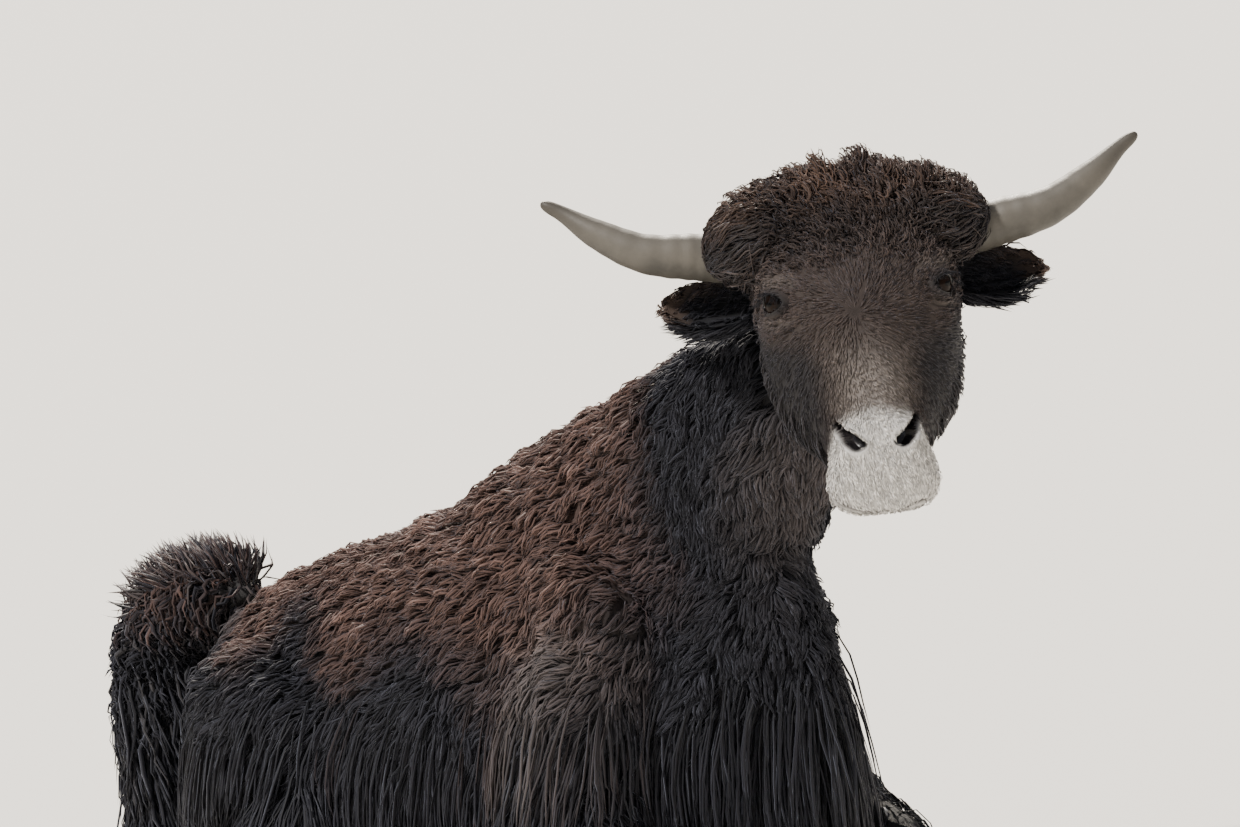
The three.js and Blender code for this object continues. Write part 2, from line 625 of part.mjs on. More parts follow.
// The coat: each lock joins the node that it grows from, clear of the other cores and of the coats before it.
const coreMeshes = cores.map(({ name, solid, colour, roughness }) => meshOf(name, solid, colour, roughness));
const coats = new Map(cores.map(({ name }) => [name, []]));
hangingLocks(coreMeshes).forEach(({ name, piece }) => coats.get(name)?.push(piece));
coats.get("head").push(...crownCurls());
coats.get("tail").push(...tailLocks());

const yak = new THREE.Group();
let takenByCoats = null;
[...cores].reverse().forEach(({ name, solid, colour, roughness }) => {
  const pieces = coats.get(name);
  let dressed = solid;
  if (pieces.length) {
    const others = wasm.Manifold.union(cores.filter((part) => part.name !== name).map((part) => part.grown));
    let hair = joined(pieces, 0).intersect(aboveFloor).subtract(others);
    if (takenByCoats) hair = hair.subtract(takenByCoats);
    dressed = largest(solid.add(hair));
    const grown = joined(pieces, COAT_GAP).add(dressed);
    takenByCoats = takenByCoats ? takenByCoats.add(grown) : grown;
  }
  yak.add(meshOf(name, dressed, colour, roughness));
});

export default yak;
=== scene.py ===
# A young yak lying on its breastbone with its head turned, at life size: its looks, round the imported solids.
# Metres in the end, millimetres in the tables. +X is the way the body faces, +Y its left side, +Z up.
import math

import bpy
import numpy as np
from mathutils import Matrix, Vector


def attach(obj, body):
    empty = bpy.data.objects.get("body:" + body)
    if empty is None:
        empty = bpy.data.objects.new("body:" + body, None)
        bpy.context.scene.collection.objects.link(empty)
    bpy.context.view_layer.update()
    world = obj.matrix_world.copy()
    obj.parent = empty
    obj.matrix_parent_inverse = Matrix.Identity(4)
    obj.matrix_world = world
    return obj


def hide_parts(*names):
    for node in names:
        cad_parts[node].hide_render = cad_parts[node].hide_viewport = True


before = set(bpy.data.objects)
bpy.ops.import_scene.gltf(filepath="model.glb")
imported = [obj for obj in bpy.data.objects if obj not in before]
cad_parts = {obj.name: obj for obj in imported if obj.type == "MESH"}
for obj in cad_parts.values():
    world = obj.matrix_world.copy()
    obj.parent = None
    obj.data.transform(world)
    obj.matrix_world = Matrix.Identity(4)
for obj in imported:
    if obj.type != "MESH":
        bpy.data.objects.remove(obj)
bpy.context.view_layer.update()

mm = 0.001
farAway = 9.0
sides = {"right": -1, "left": 1}


# Small tools for arrays
def smooth(value, low, high):  # 0 below low, 1 above high, 3t^2 - 2t^3 between
    t = np.clip((value - low) / (high - low), 0, 1)
    return t * t * (3 - 2 * t)


def unit(vectors):
    return vectors / np.maximum(np.linalg.norm(vectors, axis=-1, keepdims=True), 1e-9)


def dot(a, b):
    return (a * b).sum(-1, keepdims=True)


def mix(a, b, share):
    return a + (b - a) * share


def bulge(value, power):  # the value's size to a power, with its sign kept
    return np.sign(value) * np.abs(value) ** power


def fullness(t, power):  # how full a body is along its length, 0 at both ends
    return np.sqrt(np.maximum(0, 1 - np.abs(2 * t - 1) ** power))


def crowd(t):  # rings come closer together near the ends
    return 0.35 * t + 0.325 * (1 - np.cos(np.pi * t))


def bell(value, width):  # 1 at zero and less to both sides: e to the power of -(value / width)^2
    return np.exp(-((value / width) ** 2))


def bells(value, rows):  # a sum of such swellings, each given as [middle, width, height]
    return sum(high * bell(value - at, width) for at, width, high in rows)


def ringSteps(along, around):  # how far along each ring lies, 0 to 1, and the turn of each point on it
    return np.linspace(0, 1, along + 1)[:, None], 2 * np.pi * np.arange(around)[None] / around


def lineThrough(pairs):
    # Cubic pieces through [x, value] pairs; the slope at a point is that between its two neighbours.
    xs, ys = np.array(pairs, float).T
    before = np.maximum(np.arange(len(xs)) - 1, 0)
    after = np.minimum(np.arange(len(xs)) + 1, len(xs) - 1)
    slopes = (ys[after] - ys[before]) / (xs[after] - xs[before])

    def at(x):
        x = np.asarray(x, float)
        i = np.clip(np.searchsorted(xs, x) - 1, 0, len(xs) - 2)
        wide = xs[i + 1] - xs[i]
        t = np.clip((x - xs[i]) / wide, 0, 1)
        start = ys[i] * (1 + 2 * t) * (1 - t) ** 2 + slopes[i] * wide * t * (1 - t) ** 2
        return start + ys[i + 1] * t * t * (3 - 2 * t) - slopes[i + 1] * wide * t * t * (1 - t)

    return at


# Surfaces are (points, quads, triangles); a closed one runs from pole to pole in rings.
def gridQuads(rows, columns):
    r, c = np.meshgrid(np.arange(rows - 1), np.arange(columns), indexing="ij")
    n = (c + 1) % columns
    corners = [r * columns + c, r * columns + n, (r + 1) * columns + n, (r + 1) * columns + c]
    return np.stack(corners, -1).reshape(-1, 4)


def volumeOf(points, quads, tris):
    flat = np.concatenate([quads[:, [0, 1, 2]], quads[:, [0, 2, 3]], tris])
    a, b, c = points[flat[:, 0]], points[flat[:, 1]], points[flat[:, 2]]
    return dot(a, np.cross(b, c)).sum() / 6


def closedForm(rings):
    # The first and last ring are each drawn together to one point, and faces turn outwards.
    rows, columns = rings.shape[:2]
    inner = rings[1:-1].reshape(-1, 3)
    points = np.concatenate([inner, rings[:1].mean(1), rings[-1:].mean(1)])
    quads = gridQuads(rows - 2, columns)
    j = np.arange(columns)
    n = (j + 1) % columns
    last = (rows - 3) * columns
    top, bottom = np.full(columns, len(inner)), np.full(columns, len(inner) + 1)
    tris = np.concatenate([np.stack([top, n, j], -1), np.stack([bottom, last + j, last + n], -1)])
    if volumeOf(points, quads, tris) < 0:
        quads, tris = quads[:, ::-1], tris[:, ::-1]
    return points, quads, tris


def joinForms(forms):
    start = np.cumsum([0] + [len(form[0]) for form in forms])
    return (
        np.concatenate([form[0] for form in forms]),
        np.concatenate([form[1] + at for form, at in zip(forms, start)]),
        np.concatenate([form[2] + at for form, at in zip(forms, start)]),
    )


def faceCross(points, faces):  # each face's normal, as long as twice its area
    corner = points[faces]
    return np.cross(corner[:, 2] - corner[:, 0], corner[:, -1] - corner[:, 1])


def normalsOf(points, quads, tris):
    # The normals of the faces round a point are added up, a large face for more than a small one.
    total = np.zeros_like(points)
    for faces in (quads, tris):
        if len(faces):
            cross = faceCross(points, faces)
            for k in range(faces.shape[1]):
                for axis in range(3):
                    total[:, axis] += np.bincount(faces[:, k], cross[:, axis], len(points))
    return unit(total)


def makeObject(name, points, quads, tris, attributes=None, uv=None):
    mesh = bpy.data.meshes.new(name)
    corners = np.concatenate([quads.ravel(), tris.ravel()]).astype(np.int32)
    sizes = np.concatenate([np.full(len(quads), 4), np.full(len(tris), 3)])
    starts = np.concatenate([[0], np.cumsum(sizes)[:-1]]).astype(np.int32)
    mesh.vertices.add(len(points))
    mesh.vertices.foreach_set("co", points.astype(np.float32).ravel())
    mesh.loops.add(len(corners))
    mesh.loops.foreach_set("vertex_index", corners)
    mesh.polygons.add(len(sizes))
    mesh.polygons.foreach_set("loop_start", starts)
    mesh.update(calc_edges=True)
    if uv is not None:
        layer = mesh.uv_layers.new(name="OFBake")
        layer.data.foreach_set("uv", uv[corners].astype(np.float32).ravel())
    for label, values in (attributes or {}).items():
        kind, part = ("FLOAT", "value") if values.ndim == 1 else ("FLOAT_VECTOR", "vector")
        if label == "coatColour":
            kind, part = "FLOAT_COLOR", "color"
            values = np.concatenate([values, np.ones((len(values), 1))], 1)
        mesh.attributes.new(label, kind, "POINT").data.foreach_set(part, values.astype(np.float32).ravel())
    mesh.shade_smooth()
    made = bpy.data.objects.new(name.replace(" ", "_"), mesh)
    bpy.context.scene.collection.objects.link(made)
    return made


def limbRings(stations, around, along, blunt=6, side=None, grow=0.0, turned=None):
    # Oval rings round a smooth line through [x, y, z, half width, half depth] stations.
    stations = np.array(stations, float)
    steps = np.linalg.norm(np.diff(stations[:, :3], axis=0), axis=1)
    marks = np.concatenate([[0], np.cumsum(steps)]) / steps.sum()
    lines = [lineThrough(np.stack([marks, stations[:, k]], -1)) for k in range(5)]
    v = np.linspace(0, 1, along + 1)
    t = crowd(v)

    def centre(at):
        return np.stack([line(at) for line in lines[:3]], -1)

    ahead = unit(centre(np.minimum(t + 0.01, 1)) - centre(np.maximum(t - 0.01, 0)))
    if side is None:
        across = unit(np.cross(ahead, np.array([0, 0, 1.0])))
    else:
        across = unit(np.array(side, float) - ahead * dot(ahead, np.array(side, float)))
    deep = np.cross(across, ahead)
    angle = 2 * np.pi * np.arange(around) / around
    rise = np.sin(angle) if turned is None else turned(np.sin(angle))
    full = fullness(t, blunt)
    wide = (lines[3](t) * full + grow)[:, None] * np.cos(angle)
    depth = (lines[4](t) * full + grow)[:, None] * rise
    rings = centre(t)[:, None] + across[:, None] * wide[..., None] + deep[:, None] * depth[..., None]
    return rings - ahead[:, None] * (grow * np.cos(np.pi * v))[:, None, None]


# Body
trunk = {
    "rear": -540, "front": 402, "around": 120, "along": 120, "under": 17, "blunt": 6,
    "backLine": [[-540, 360], [-474, 420], [-416, 431], [-333, 444], [-235, 459], [-153, 477], [-89, 494],
                 [-18, 529], [48, 554], [113, 577], [178, 601], [240, 612], [300, 590], [350, 530],
                 [402, 400]],
    "widestHeight": [[-540, 240], [-300, 190], [0, 200], [220, 235], [402, 250]],
    "halfWidth": [[-540, 112], [-460, 156], [-350, 188], [-200, 210], [-60, 216], [60, 202], [180, 172],
                  [300, 134], [402, 80]],
    "topNarrowing": [[-540, 0.1], [-350, 0.14], [-150, 0.2], [40, 0.4], [220, 0.5], [402, 0.3]],
    "bellyLine": [[-540, 110], [-420, 20], [-320, -10], [230, -10], [330, 40], [402, 130]],
    # the powers that round the oval off, across and upright, and the bend: [most, place, spread]
    "topPowers": (0.9, 0.95), "underPowers": (0.72, 0.8), "bend": (-22, 60, 560),
}
trunkLines = {name: lineThrough(trunk[name]) for name in trunk if isinstance(trunk[name], list)}


def trunkRings():
    # Half an oval above and half below the widest height, each blunted, drawn in by the wool's depth.
    v, turn = ringSteps(trunk["along"], trunk["around"])
    x = mix(trunk["rear"], trunk["front"], crowd(v)) + 0 * turn
    full, rise, reach = fullness(crowd(v), trunk["blunt"]), np.sin(turn), np.cos(turn)
    upper = rise > 0
    middle = trunkLines["widestHeight"](x)
    narrow = 1 - trunkLines["topNarrowing"](x) * np.maximum(0, rise) ** 2
    height = np.where(upper, trunkLines["backLine"](x) - middle, middle - trunkLines["bellyLine"](x))
    aside, drop = (
        np.where(upper, bulge(value, trunk["topPowers"][k]), bulge(value, trunk["underPowers"][k]))
        for k, value in enumerate((reach, rise))
    )
    width = trunkLines["halfWidth"](x) * aside * narrow
    most, place, spread = trunk["bend"]
    bend = most * ((x - place) / spread) ** 2
    grow = -trunk["under"]
    y = bend + width * full + grow * reach
    return np.stack([x - grow * np.cos(np.pi * v), y, middle + height * full * drop + grow * rise], -1)


limbs = {
    "neck": [[120, 0, 400, 90, 130], [220, 0, 462, 106, 146], [310, 8, 520, 98, 124], [400, 20, 580, 84, 100],
             [490, 12, 640, 66, 78]],
    "tail": [[-440, -14, 396, 38, 30], [-500, -18, 400, 44, 36], [-562, -22, 380, 50, 44],
             [-596, -26, 320, 50, 46], [-602, -34, 232, 46, 42], [-600, -50, 142, 40, 36],
             [-594, -76, 66, 32, 28], [-584, -116, 18, 24, 20]],
    "foreLeg": [
        [[80, 66, 450, 30, 50], [130, 106, 390, 58, 78], [190, 132, 325, 62, 88], [230, 130, 250, 50, 66]],
        [[240, 136, 310, 54, 62], [165, 160, 270, 60, 74], [92, 176, 210, 48, 58]],
        [[66, 184, 206, 36, 40], [150, 188, 150, 46, 50], [250, 178, 98, 36, 36], [352, 160, 62, 33, 33]],
        [[366, 158, 48, 31, 29], [306, 154, 27, 24, 21], [222, 150, 18, 21, 19], [150, 146, 19, 23, 21]],
    ],
    "hindLeg": [
        [[-450, 80, 310, 56, 64], [-380, 116, 284, 84, 102], [-280, 152, 250, 86, 106],
         [-160, 190, 190, 52, 66]],
        [[-166, 198, 186, 50, 58], [-260, 222, 138, 54, 60], [-360, 236, 88, 38, 42],
         [-440, 240, 56, 30, 32]],
        [[-454, 240, 54, 24, 30], [-404, 248, 34, 25, 25], [-324, 256, 19, 21, 20], [-250, 262, 19, 23, 21]],
    ],
    "tuck": {"right": 0, "left": 22}, "underWool": 17, "underLeg": [19, 11, 7, 3], "underTail": 6,
    "voxel": 0.0082, "smoothing": 6, "lowest": 0.0015,
}


def placedLeg(stations, side):
    placed = np.array(stations, float)
    placed[:, 1] = sides[side] * (placed[:, 1] - limbs["tuck"][side])
    return placed


def tailRings():
    return limbRings(limbs["tail"], 32, 80, 9, side=[0.25, 1, 0], grow=-limbs["underTail"])


def bodyForms():
    neck = limbRings(limbs["neck"], 64, 60, 8, grow=-limbs["underWool"])
    forms = [closedForm(rings) for rings in (trunkRings(), neck, tailRings())]
    for side in sides:
        for kind in ("foreLeg", "hindLeg"):
            for stations, under in zip(limbs[kind], limbs["underLeg"]):
                forms.append(closedForm(limbRings(placedLeg(stations, side), 32, 40, 5, grow=-under)))
    return joinForms(forms)


def fuse(form, voxel, smoothing):
    # One skin round all the forms: a fine voxel mesh, then smoothed.
    rough = makeObject("rough", form[0] * mm, form[1], form[2])
    step = rough.modifiers.new("one skin", "REMESH")
    step.mode, step.voxel_size, step.adaptivity = "VOXEL", voxel, 0
    soften = rough.modifiers.new("soften", "SMOOTH")
    soften.factor, soften.iterations = 0.5, smoothing
    graph = bpy.context.evaluated_depsgraph_get()
    mesh = rough.evaluated_get(graph).to_mesh()
    points = np.empty(len(mesh.vertices) * 3, np.float32)
    mesh.vertices.foreach_get("co", points)
    corners = np.empty(len(mesh.loops), np.int32)
    mesh.loops.foreach_get("vertex_index", corners)
    bpy.data.objects.remove(rough)
    points = points.reshape(-1, 3).astype(float)
    points[:, 2] = np.maximum(points[:, 2], limbs["lowest"])
    return points, corners.reshape(-1, 4), np.empty((0, 3), int)


body = fuse(bodyForms(), limbs["voxel"], limbs["smoothing"])
bodyNormals = normalsOf(*body)
print("body skin", len(body[0]))

# Head space: a to the animal's left, u up the face from nose to crown, n out of the face, in millimetres.
headPlace = {"eyeLine": [572, -69, 672], "heading": 46, "faceSlope": 47, "lean": 2.4}


def headAxes():
    heading, slope = math.radians(headPlace["heading"]), math.radians(headPlace["faceSlope"])
    forward = Vector((math.sin(heading), -math.cos(heading), 0))
    turn = Matrix.Rotation(-math.radians(headPlace["lean"]), 3, forward)
    left = turn @ Vector((math.cos(heading), math.sin(heading), 0))
    up = turn @ Vector((0, 0, 1))
    faceUp = up * math.cos(slope) - forward * math.sin(slope)
    faceOut = up * math.sin(slope) + forward * math.cos(slope)
    return np.array([left, faceUp, faceOut])


headBasis = headAxes()
headCentre = np.array(headPlace["eyeLine"], float)


def fromHead(places):
    return (places @ headBasis + headCentre) * mm


def toHead(points):
    return (points / mm - headCentre) @ headBasis.T


head = {
    "noseEnd": -238, "crown": 166, "around": 216, "along": 236, "under": 3, "blunt": 9,
    "faceLine": [[-238, -30], [-215, -10], [-185, 0], [-145, 4], [-100, 7], [-50, 12], [0, 20], [50, 27],
                 [100, 24], [140, 4], [166, -30]],
    "jawLine": [[-238, -84], [-215, -98], [-175, -108], [-130, -124], [-80, -148], [-30, -172], [20, -178],
                [80, -165], [130, -140], [166, -110]],
    "headWidth": [[-238, 54], [-213, 61], [-185, 56], [-150, 50], [-115, 60], [-70, 80], [-30, 95], [5, 103],
                  [40, 100], [90, 98], [130, 88], [166, 60]],
    "bridge": [[-238, 0.26], [-190, 0.30], [-145, 0.36], [-90, 0.42], [-40, 0.3], [0, 0.06], [60, 0.06],
               [166, 0.16]],
    "widestDepth": [[-238, -62], [-190, -66], [-140, -68], [-60, -76], [0, -52], [80, -55], [166, -62]],
    # swellings and hollows: [a, u, n, spread, height]
    "forms": [[82, 27, 6, 20, 9], [92, 4, -4, 15, -6], [96, -26, -26, 18, 5], [62, -64, -20, 26, -6],
              [78, -70, -100, 34, 6], [36, -192, -6, 17, 8], [44, -220, -52, 18, 5], [0, 112, 20, 46, 8],
              [84, 30, 4, 9, 2.5], [70, -30, 6, 9, -2.5], [52, -110, -40, 16, 2]],
    # the line of a nostril, seen along the nose from the front: [a, height seen, radius]
    "nostril": [[18, -141, 4.5], [24, -140, 7.2], [30, -135, 7], [36, -127, 4.8], [39, -121, 2.6]],
    "frontView": [0.682, 0.731], "nostrilDepth": 15, "nostrilBack": -50, "mouthDepth": -68, "mouthBack": -140,
    "mouthGroove": 5, "mouthSpread": 3.0, "mouthBow": 0.0009, "mouthSlope": 0.06,
    # low folds over the nose: height, distance apart, bow, middle and spread up the face, where beside it
    "folds": {"height": 0.5, "apart": 2.6, "bow": 0.004, "middle": -180, "spread": 18, "beside": (16, 40)},
    # rows for bells: the rim of a nostril by its share, the lips by the height over the mouth's line
    "wing": [[-0.45, 0.35, 2.4]], "lips": [[8, 6, 1.8], [-8, 6, 1.6]], "cleft": [[0, 2.6, 2.2]],
}
headLines = {k: lineThrough(head[k]) for k in ("faceLine", "jawLine", "headWidth", "bridge", "widestDepth")}


def headRings():
    v, turn = ringSteps(head["along"], head["around"])
    u = mix(head["noseEnd"], head["crown"], crowd(v)) + 0 * turn
    t = (u - head["noseEnd"]) / (head["crown"] - head["noseEnd"])
    full, rise, reach = fullness(t, head["blunt"]), np.sin(turn), np.cos(turn)
    middle = headLines["widestDepth"](u)
    narrow = 1 - headLines["bridge"](u) * np.maximum(0, rise) ** 1.2
    height = np.where(rise > 0, headLines["faceLine"](u) - middle, middle - headLines["jawLine"](u))
    a = headLines["headWidth"](u) * full * bulge(reach, 0.62) * narrow
    n = middle + height * full * bulge(rise, 0.8)
    places = np.stack([a, u, n], -1)
    out = unit(np.stack([a, 0 * a, n - middle], -1))
    for at, up, deep, spread, high in head["forms"]:
        for way in (-1, 1):
            far = ((places - np.array([way * at, up, deep])) ** 2).sum(-1, keepdims=True)
            places = places + out * (0.5 if at == 0 else 1) * high * np.exp(-far / (2 * spread**2))
    return places - out * head["under"], out


def seenHeight(places):  # the height of a place for one who looks at the nose from the front
    return places[..., 1] * head["frontView"][0] + places[..., 2] * head["frontView"][1]


def nostrilShare(places):
    # 1 in the middle of the comma, 0 at its rim and below 0 outside: the most, over the dots of its line,
    # of 1 - distance / radius
    line = np.array(head["nostril"], float)
    marks = np.linspace(0, 1, len(line))
    fine = np.linspace(0, 1, 16)
    dots = np.stack([lineThrough(np.stack([marks, line[:, k]], -1))(fine) for k in range(3)], -1)
    folded = np.stack([np.abs(places[..., 0]), seenHeight(places)], -1)
    most = np.full(places.shape[:-1], -farAway)
    for spot in dots:
        most = np.maximum(most, 1 - np.linalg.norm(folded - spot[:2], axis=-1) / spot[2])
    return np.where(places[..., 2] > head["nostrilBack"], most, -farAway)


def mouthShare(places):
    # 1 along the line of the mouth, which rises a little to its corners; also the height above that line
    line = head["mouthDepth"] + head["mouthBow"] * (places[..., 0] ** 2)
    line = line - head["mouthSlope"] * (places[..., 1] - head["noseEnd"])
    ahead = smooth(-places[..., 1], -head["mouthBack"] - 4, -head["mouthBack"] + 12)
    above = places[..., 2] - line
    return bell(above, head["mouthSpread"]) * ahead, above, ahead


def detailedHead():
    places, out = headRings()
    share = nostrilShare(places)
    hole = smooth(share, -0.12, 0.55)
    mouth, above, ahead = mouthShare(places)
    wing, lips = bells(share, head["wing"]), ahead * bells(above, head["lips"])
    cleft = bells(places[..., 0], head["cleft"]) * smooth(-places[..., 1], 212, 226)
    cleft = cleft * smooth(places[..., 2], head["mouthDepth"], head["nostrilBack"])
    size = head["folds"]
    folds = size["height"] * np.sin(places[..., 1] / size["apart"] + size["bow"] * places[..., 0] ** 2)
    folds = folds * bell(places[..., 1] - size["middle"], size["spread"])
    folds = folds * smooth(np.abs(places[..., 0]), *size["beside"])
    move = wing + lips + folds - cleft - head["mouthGroove"] * mouth - head["nostrilDepth"] * hole
    ease = smooth(places[..., 1], head["noseEnd"] + 1, head["noseEnd"] + 9)
    inward = out * move[..., None]
    inward[..., 1] += (head["nostrilDepth"] * 0.6 * hole) * ease  # the nostrils run back up the nose
    return places + inward * ease[..., None]


# Eyes, each with its lids. Eye space: p towards the nose, q up the face, r out of the eye.
eyes = {
    "centre": [77, 5, -9], "looks": [0.8, -0.39, 0.43], "above": [0, 0.68, 0.73], "radius": 17,
    "half": 15.4, "upper": 9.4, "lower": 9.0, "tilt": -9, "wide": 37, "high": 33, "around": 84, "rings": 26,
    "lid": 2.0, "sink": 7, "near": [52, 48], "behind": -26, "blend": 1.7, "pointed": 0.22,
    "spacing": 1.35, "rimGap": 0.6,
    # folds of the lids, rows for bells: [share of the way out from the rim, width, depth]
    "upperFolds": [[0.34, 0.05, 2.4], [0.46, 0.06, -1.2]],
    "lowerFolds": [[0.38, 0.045, 1.7], [0.62, 0.05, 1.1]], "bag": [0.5, 0.07, 1.1],
    # half widths and heights, and colours
    "pupil": [5.2, 2.6], "iris": [10.5, 9.5], "irisColour": (0.010, 0.005, 0.003, 1),
    "pupilColour": (0.002, 0.002, 0.002, 1), "rimColour": (0.006, 0.005, 0.005, 1),
}


def eyeAxes():
    looks = np.array(eyes["looks"]) / np.linalg.norm(eyes["looks"])
    up = np.array(eyes["above"]) - looks * (looks @ np.array(eyes["above"]))
    up /= np.linalg.norm(up)
    return np.array([np.cross(up, -looks), up, looks])


eyeBasis = eyeAxes()


def toEye(places, way):
    folded = places * np.array([way, 1, 1])
    return (folded - np.array(eyes["centre"])) @ eyeBasis.T


def fromEye(spots, way):
    return (spots @ eyeBasis + np.array(eyes["centre"])) * np.array([way, 1, 1])


def almond(turn, scale):
    # The opening between the lids: an oval with pointed corners, turned a little.
    p = eyes["half"] * np.cos(turn)
    rise = np.where(np.sin(turn) > 0, eyes["upper"], eyes["lower"])
    q = rise * np.sin(turn) * np.abs(np.sin(turn)) ** eyes["pointed"]
    tilt = math.radians(eyes["tilt"])
    across, up = p * math.cos(tilt) + q * math.sin(tilt), q * math.cos(tilt) - p * math.sin(tilt)
    return scale * across, scale * up


def heightNear(spots, p, q):
    # The head's height over the eye's plane: a mean of its points, weighed by 1 / (distance^2 + 2)^2.
    height = np.empty(p.size)
    for part in np.array_split(np.arange(p.size), 12):
        far = (p.ravel()[part, None] - spots[:, 0]) ** 2 + (q.ravel()[part, None] - spots[:, 1]) ** 2
        weight = 1 / (far + 2.0) ** 2
        height[part] = (weight * spots[:, 2]).sum(1) / weight.sum(1)
    return height.reshape(p.shape)


def eyeSurround(headPlaces, way):
    # Rings from the rim of the opening outwards, over the lids, their folds and on to the head.
    spots = toEye(headPlaces.reshape(-1, 3), way)
    near, behind = eyes["near"], eyes["behind"]
    spots = spots[(np.abs(spots[:, 0]) < near[0]) & (np.abs(spots[:, 1]) < near[1]) & (spots[:, 2] > behind)]
    turn = 2 * np.pi * np.arange(eyes["around"])[None] / eyes["around"]
    s = np.linspace(0, 1, eyes["rings"])[:, None]
    inner, outer = almond(turn, 1.0), (eyes["wide"] * np.cos(turn), eyes["high"] * np.sin(turn))
    share = s ** eyes["spacing"]
    p, q = mix(inner[0], outer[0], share), mix(inner[1], outer[1], share)
    ball = np.sqrt(np.maximum((eyes["radius"] + eyes["lid"]) ** 2 - p**2 - q**2, 0))
    headHeight = heightNear(spots, p, q)
    height = eyes["blend"] * np.logaddexp(ball / eyes["blend"], headHeight / eyes["blend"])
    height = mix(height, headHeight, smooth(s, 0.45, 0.9))
    upper, lower = smooth(np.sin(turn), 0.0, 0.5), smooth(-np.sin(turn), 0.0, 0.5)
    height = height - upper * bells(s, eyes["upperFolds"])
    height = height - lower * bells(s, eyes["lowerFolds"])
    at, width, high = eyes["bag"]
    height = height + lower * high * bell(s - at, width)
    height = height + 0.5 * smooth(s, 0.6, 0.9) - 2.2 * smooth(s, 0.93, 1.0)
    rim = np.sqrt(np.maximum((eyes["radius"] - eyes["rimGap"]) ** 2 - inner[0] ** 2 - inner[1] ** 2, 0))
    edge = np.stack([*inner, rim], -1)
    places = fromEye(np.concatenate([edge, np.stack([p, q, height], -1)]), way)
    points = places.reshape(-1, 3)
    quads = gridQuads(eyes["rings"] + 1, eyes["around"])
    normals = normalsOf(fromHead(points), quads, np.empty((0, 3), int))
    ends = fromHead(fromEye(np.array([[0, 0, 60.0], [0, 0, 0]]), way))
    if (normals @ (ends[0] - ends[1])).mean() < 0:
        quads = quads[:, ::-1]
    outwards = np.concatenate([0 * s[:1], s]) + 0 * turn
    return points, quads, np.empty((0, 3), int), outwards.ravel()

headGrid = detailedHead()
surrounds = {side: eyeSurround(headGrid, way) for side, way in sides.items()}
for way in sides.values():  # the head gives way under each surround
    spots = toEye(headGrid, way)
    far = np.hypot(spots[..., 0] / eyes["wide"], spots[..., 1] / eyes["high"])
    sunk = (1 - smooth(far, 0.74, 0.92)) * smooth(spots[..., 2], -24, -12) * (spots[..., 2] > eyes["behind"])
    spots[..., 2] -= eyes["sink"] * sunk
    headGrid = fromEye(spots, way)
print("head skin", headGrid.shape)

# Ears: a leaf-shaped shell, whose front is its back pressed in.
ears = {
    "stations": [[80, 70, -74, 20, 16], [114, 80, -80, 31, 19], [146, 84, -82, 35, 17],
                 [176, 84, -82, 29, 12], [196, 80, -80, 15, 7]],
    "pressed": 0.62, "around": 44, "along": 36, "under": 3,
}


def earForm(way):
    def turned(rise):
        return np.where(rise > 0, rise, -ears["pressed"] * rise)

    rings = limbRings(ears["stations"], ears["around"], ears["along"], 4, [0, 1, 0], -ears["under"], turned)
    return closedForm(fromHead(rings * np.array([way, 1, 1])))


# The crown's wool lies over a low dome between the horns.
crown = {
    "centre": [-2, 90, -18], "half": [130, 64, 52], "square": 0.92, "lift": 0.12, "wings": 60,
    "around": 60, "along": 40,
}


def domeForm():
    v, turn = ringSteps(crown["along"], crown["around"])
    tilt = np.pi * v
    far, wide = bulge(np.cos(tilt), crown["square"]), np.sin(tilt) ** crown["square"]
    out = np.stack([far + 0 * turn, wide * np.cos(turn), wide * np.sin(turn)], -1)
    places = np.array(crown["centre"]) + out * np.array(crown["half"])
    rise = crown["lift"] * np.maximum(0, np.abs(places[..., 0]) - crown["wings"])
    places[..., 1] += rise  # the wings rise towards the horns
    return closedForm(fromHead(places))


headForm = closedForm(fromHead(headGrid))
dome = domeForm()
earForms = {side: earForm(way) for side, way in sides.items()}
surroundForms = [(fromHead(s[0]), s[1], s[2]) for s in surrounds.values()]
headNormals, domeNormals = normalsOf(*headForm), normalsOf(*dome)
earNormals = {side: normalsOf(*form) for side, form in earForms.items()}


# Markings: one function gives the colour of the coat at any place, and skin and coat both use it.
coat = {
    # brown: the back's coat colour, partly standing for painted light on its lit top
    "brown": [0.084, 0.050, 0.041], "black": [0.012, 0.012, 0.016], "grey": [0.12, 0.112, 0.112],
    # bridge: the pale nose bridge, also used for the painted highlights round the eyes
    "face": [0.056, 0.040, 0.034], "cheek": [0.021, 0.018, 0.019], "bridge": [0.26, 0.225, 0.20],
    "muzzle": [0.80, 0.77, 0.73], "crownDark": [0.018, 0.014, 0.013], "crownBrown": [0.095, 0.056, 0.038],
    # lid: dark lid skin, also used for the painted shade in the nostrils and the mouth's groove
    "earTip": [0.12, 0.082, 0.062], "lid": [0.022, 0.019, 0.021], "throat": [0.075, 0.062, 0.060],
}
colour = {name: np.array(value) for name, value in coat.items()}


ripples = {"waves": 7, "turn": 6.28, "scales": (0.6, 1.7), "total": 3.2}


def ripple(points, size, seed):  # a slow uneven pattern from -1 to 1: sums of sines along turned axes
    dice = np.random.default_rng(seed)
    axes = unit(dice.normal(size=(ripples["waves"], 3)))
    phase = dice.uniform(0, ripples["turn"], ripples["waves"])
    scale = dice.uniform(*ripples["scales"], ripples["waves"]) / size
    return np.sin((points @ axes.T) * scale * ripples["turn"] + phase).sum(-1) / ripples["total"]


def allOver(name, points):  # one colour for every point
    return np.broadcast_to(colour[name], points.shape)


def paint(base, name, share):
    return mix(base, colour[name], np.clip(share, 0, 1)[:, None])


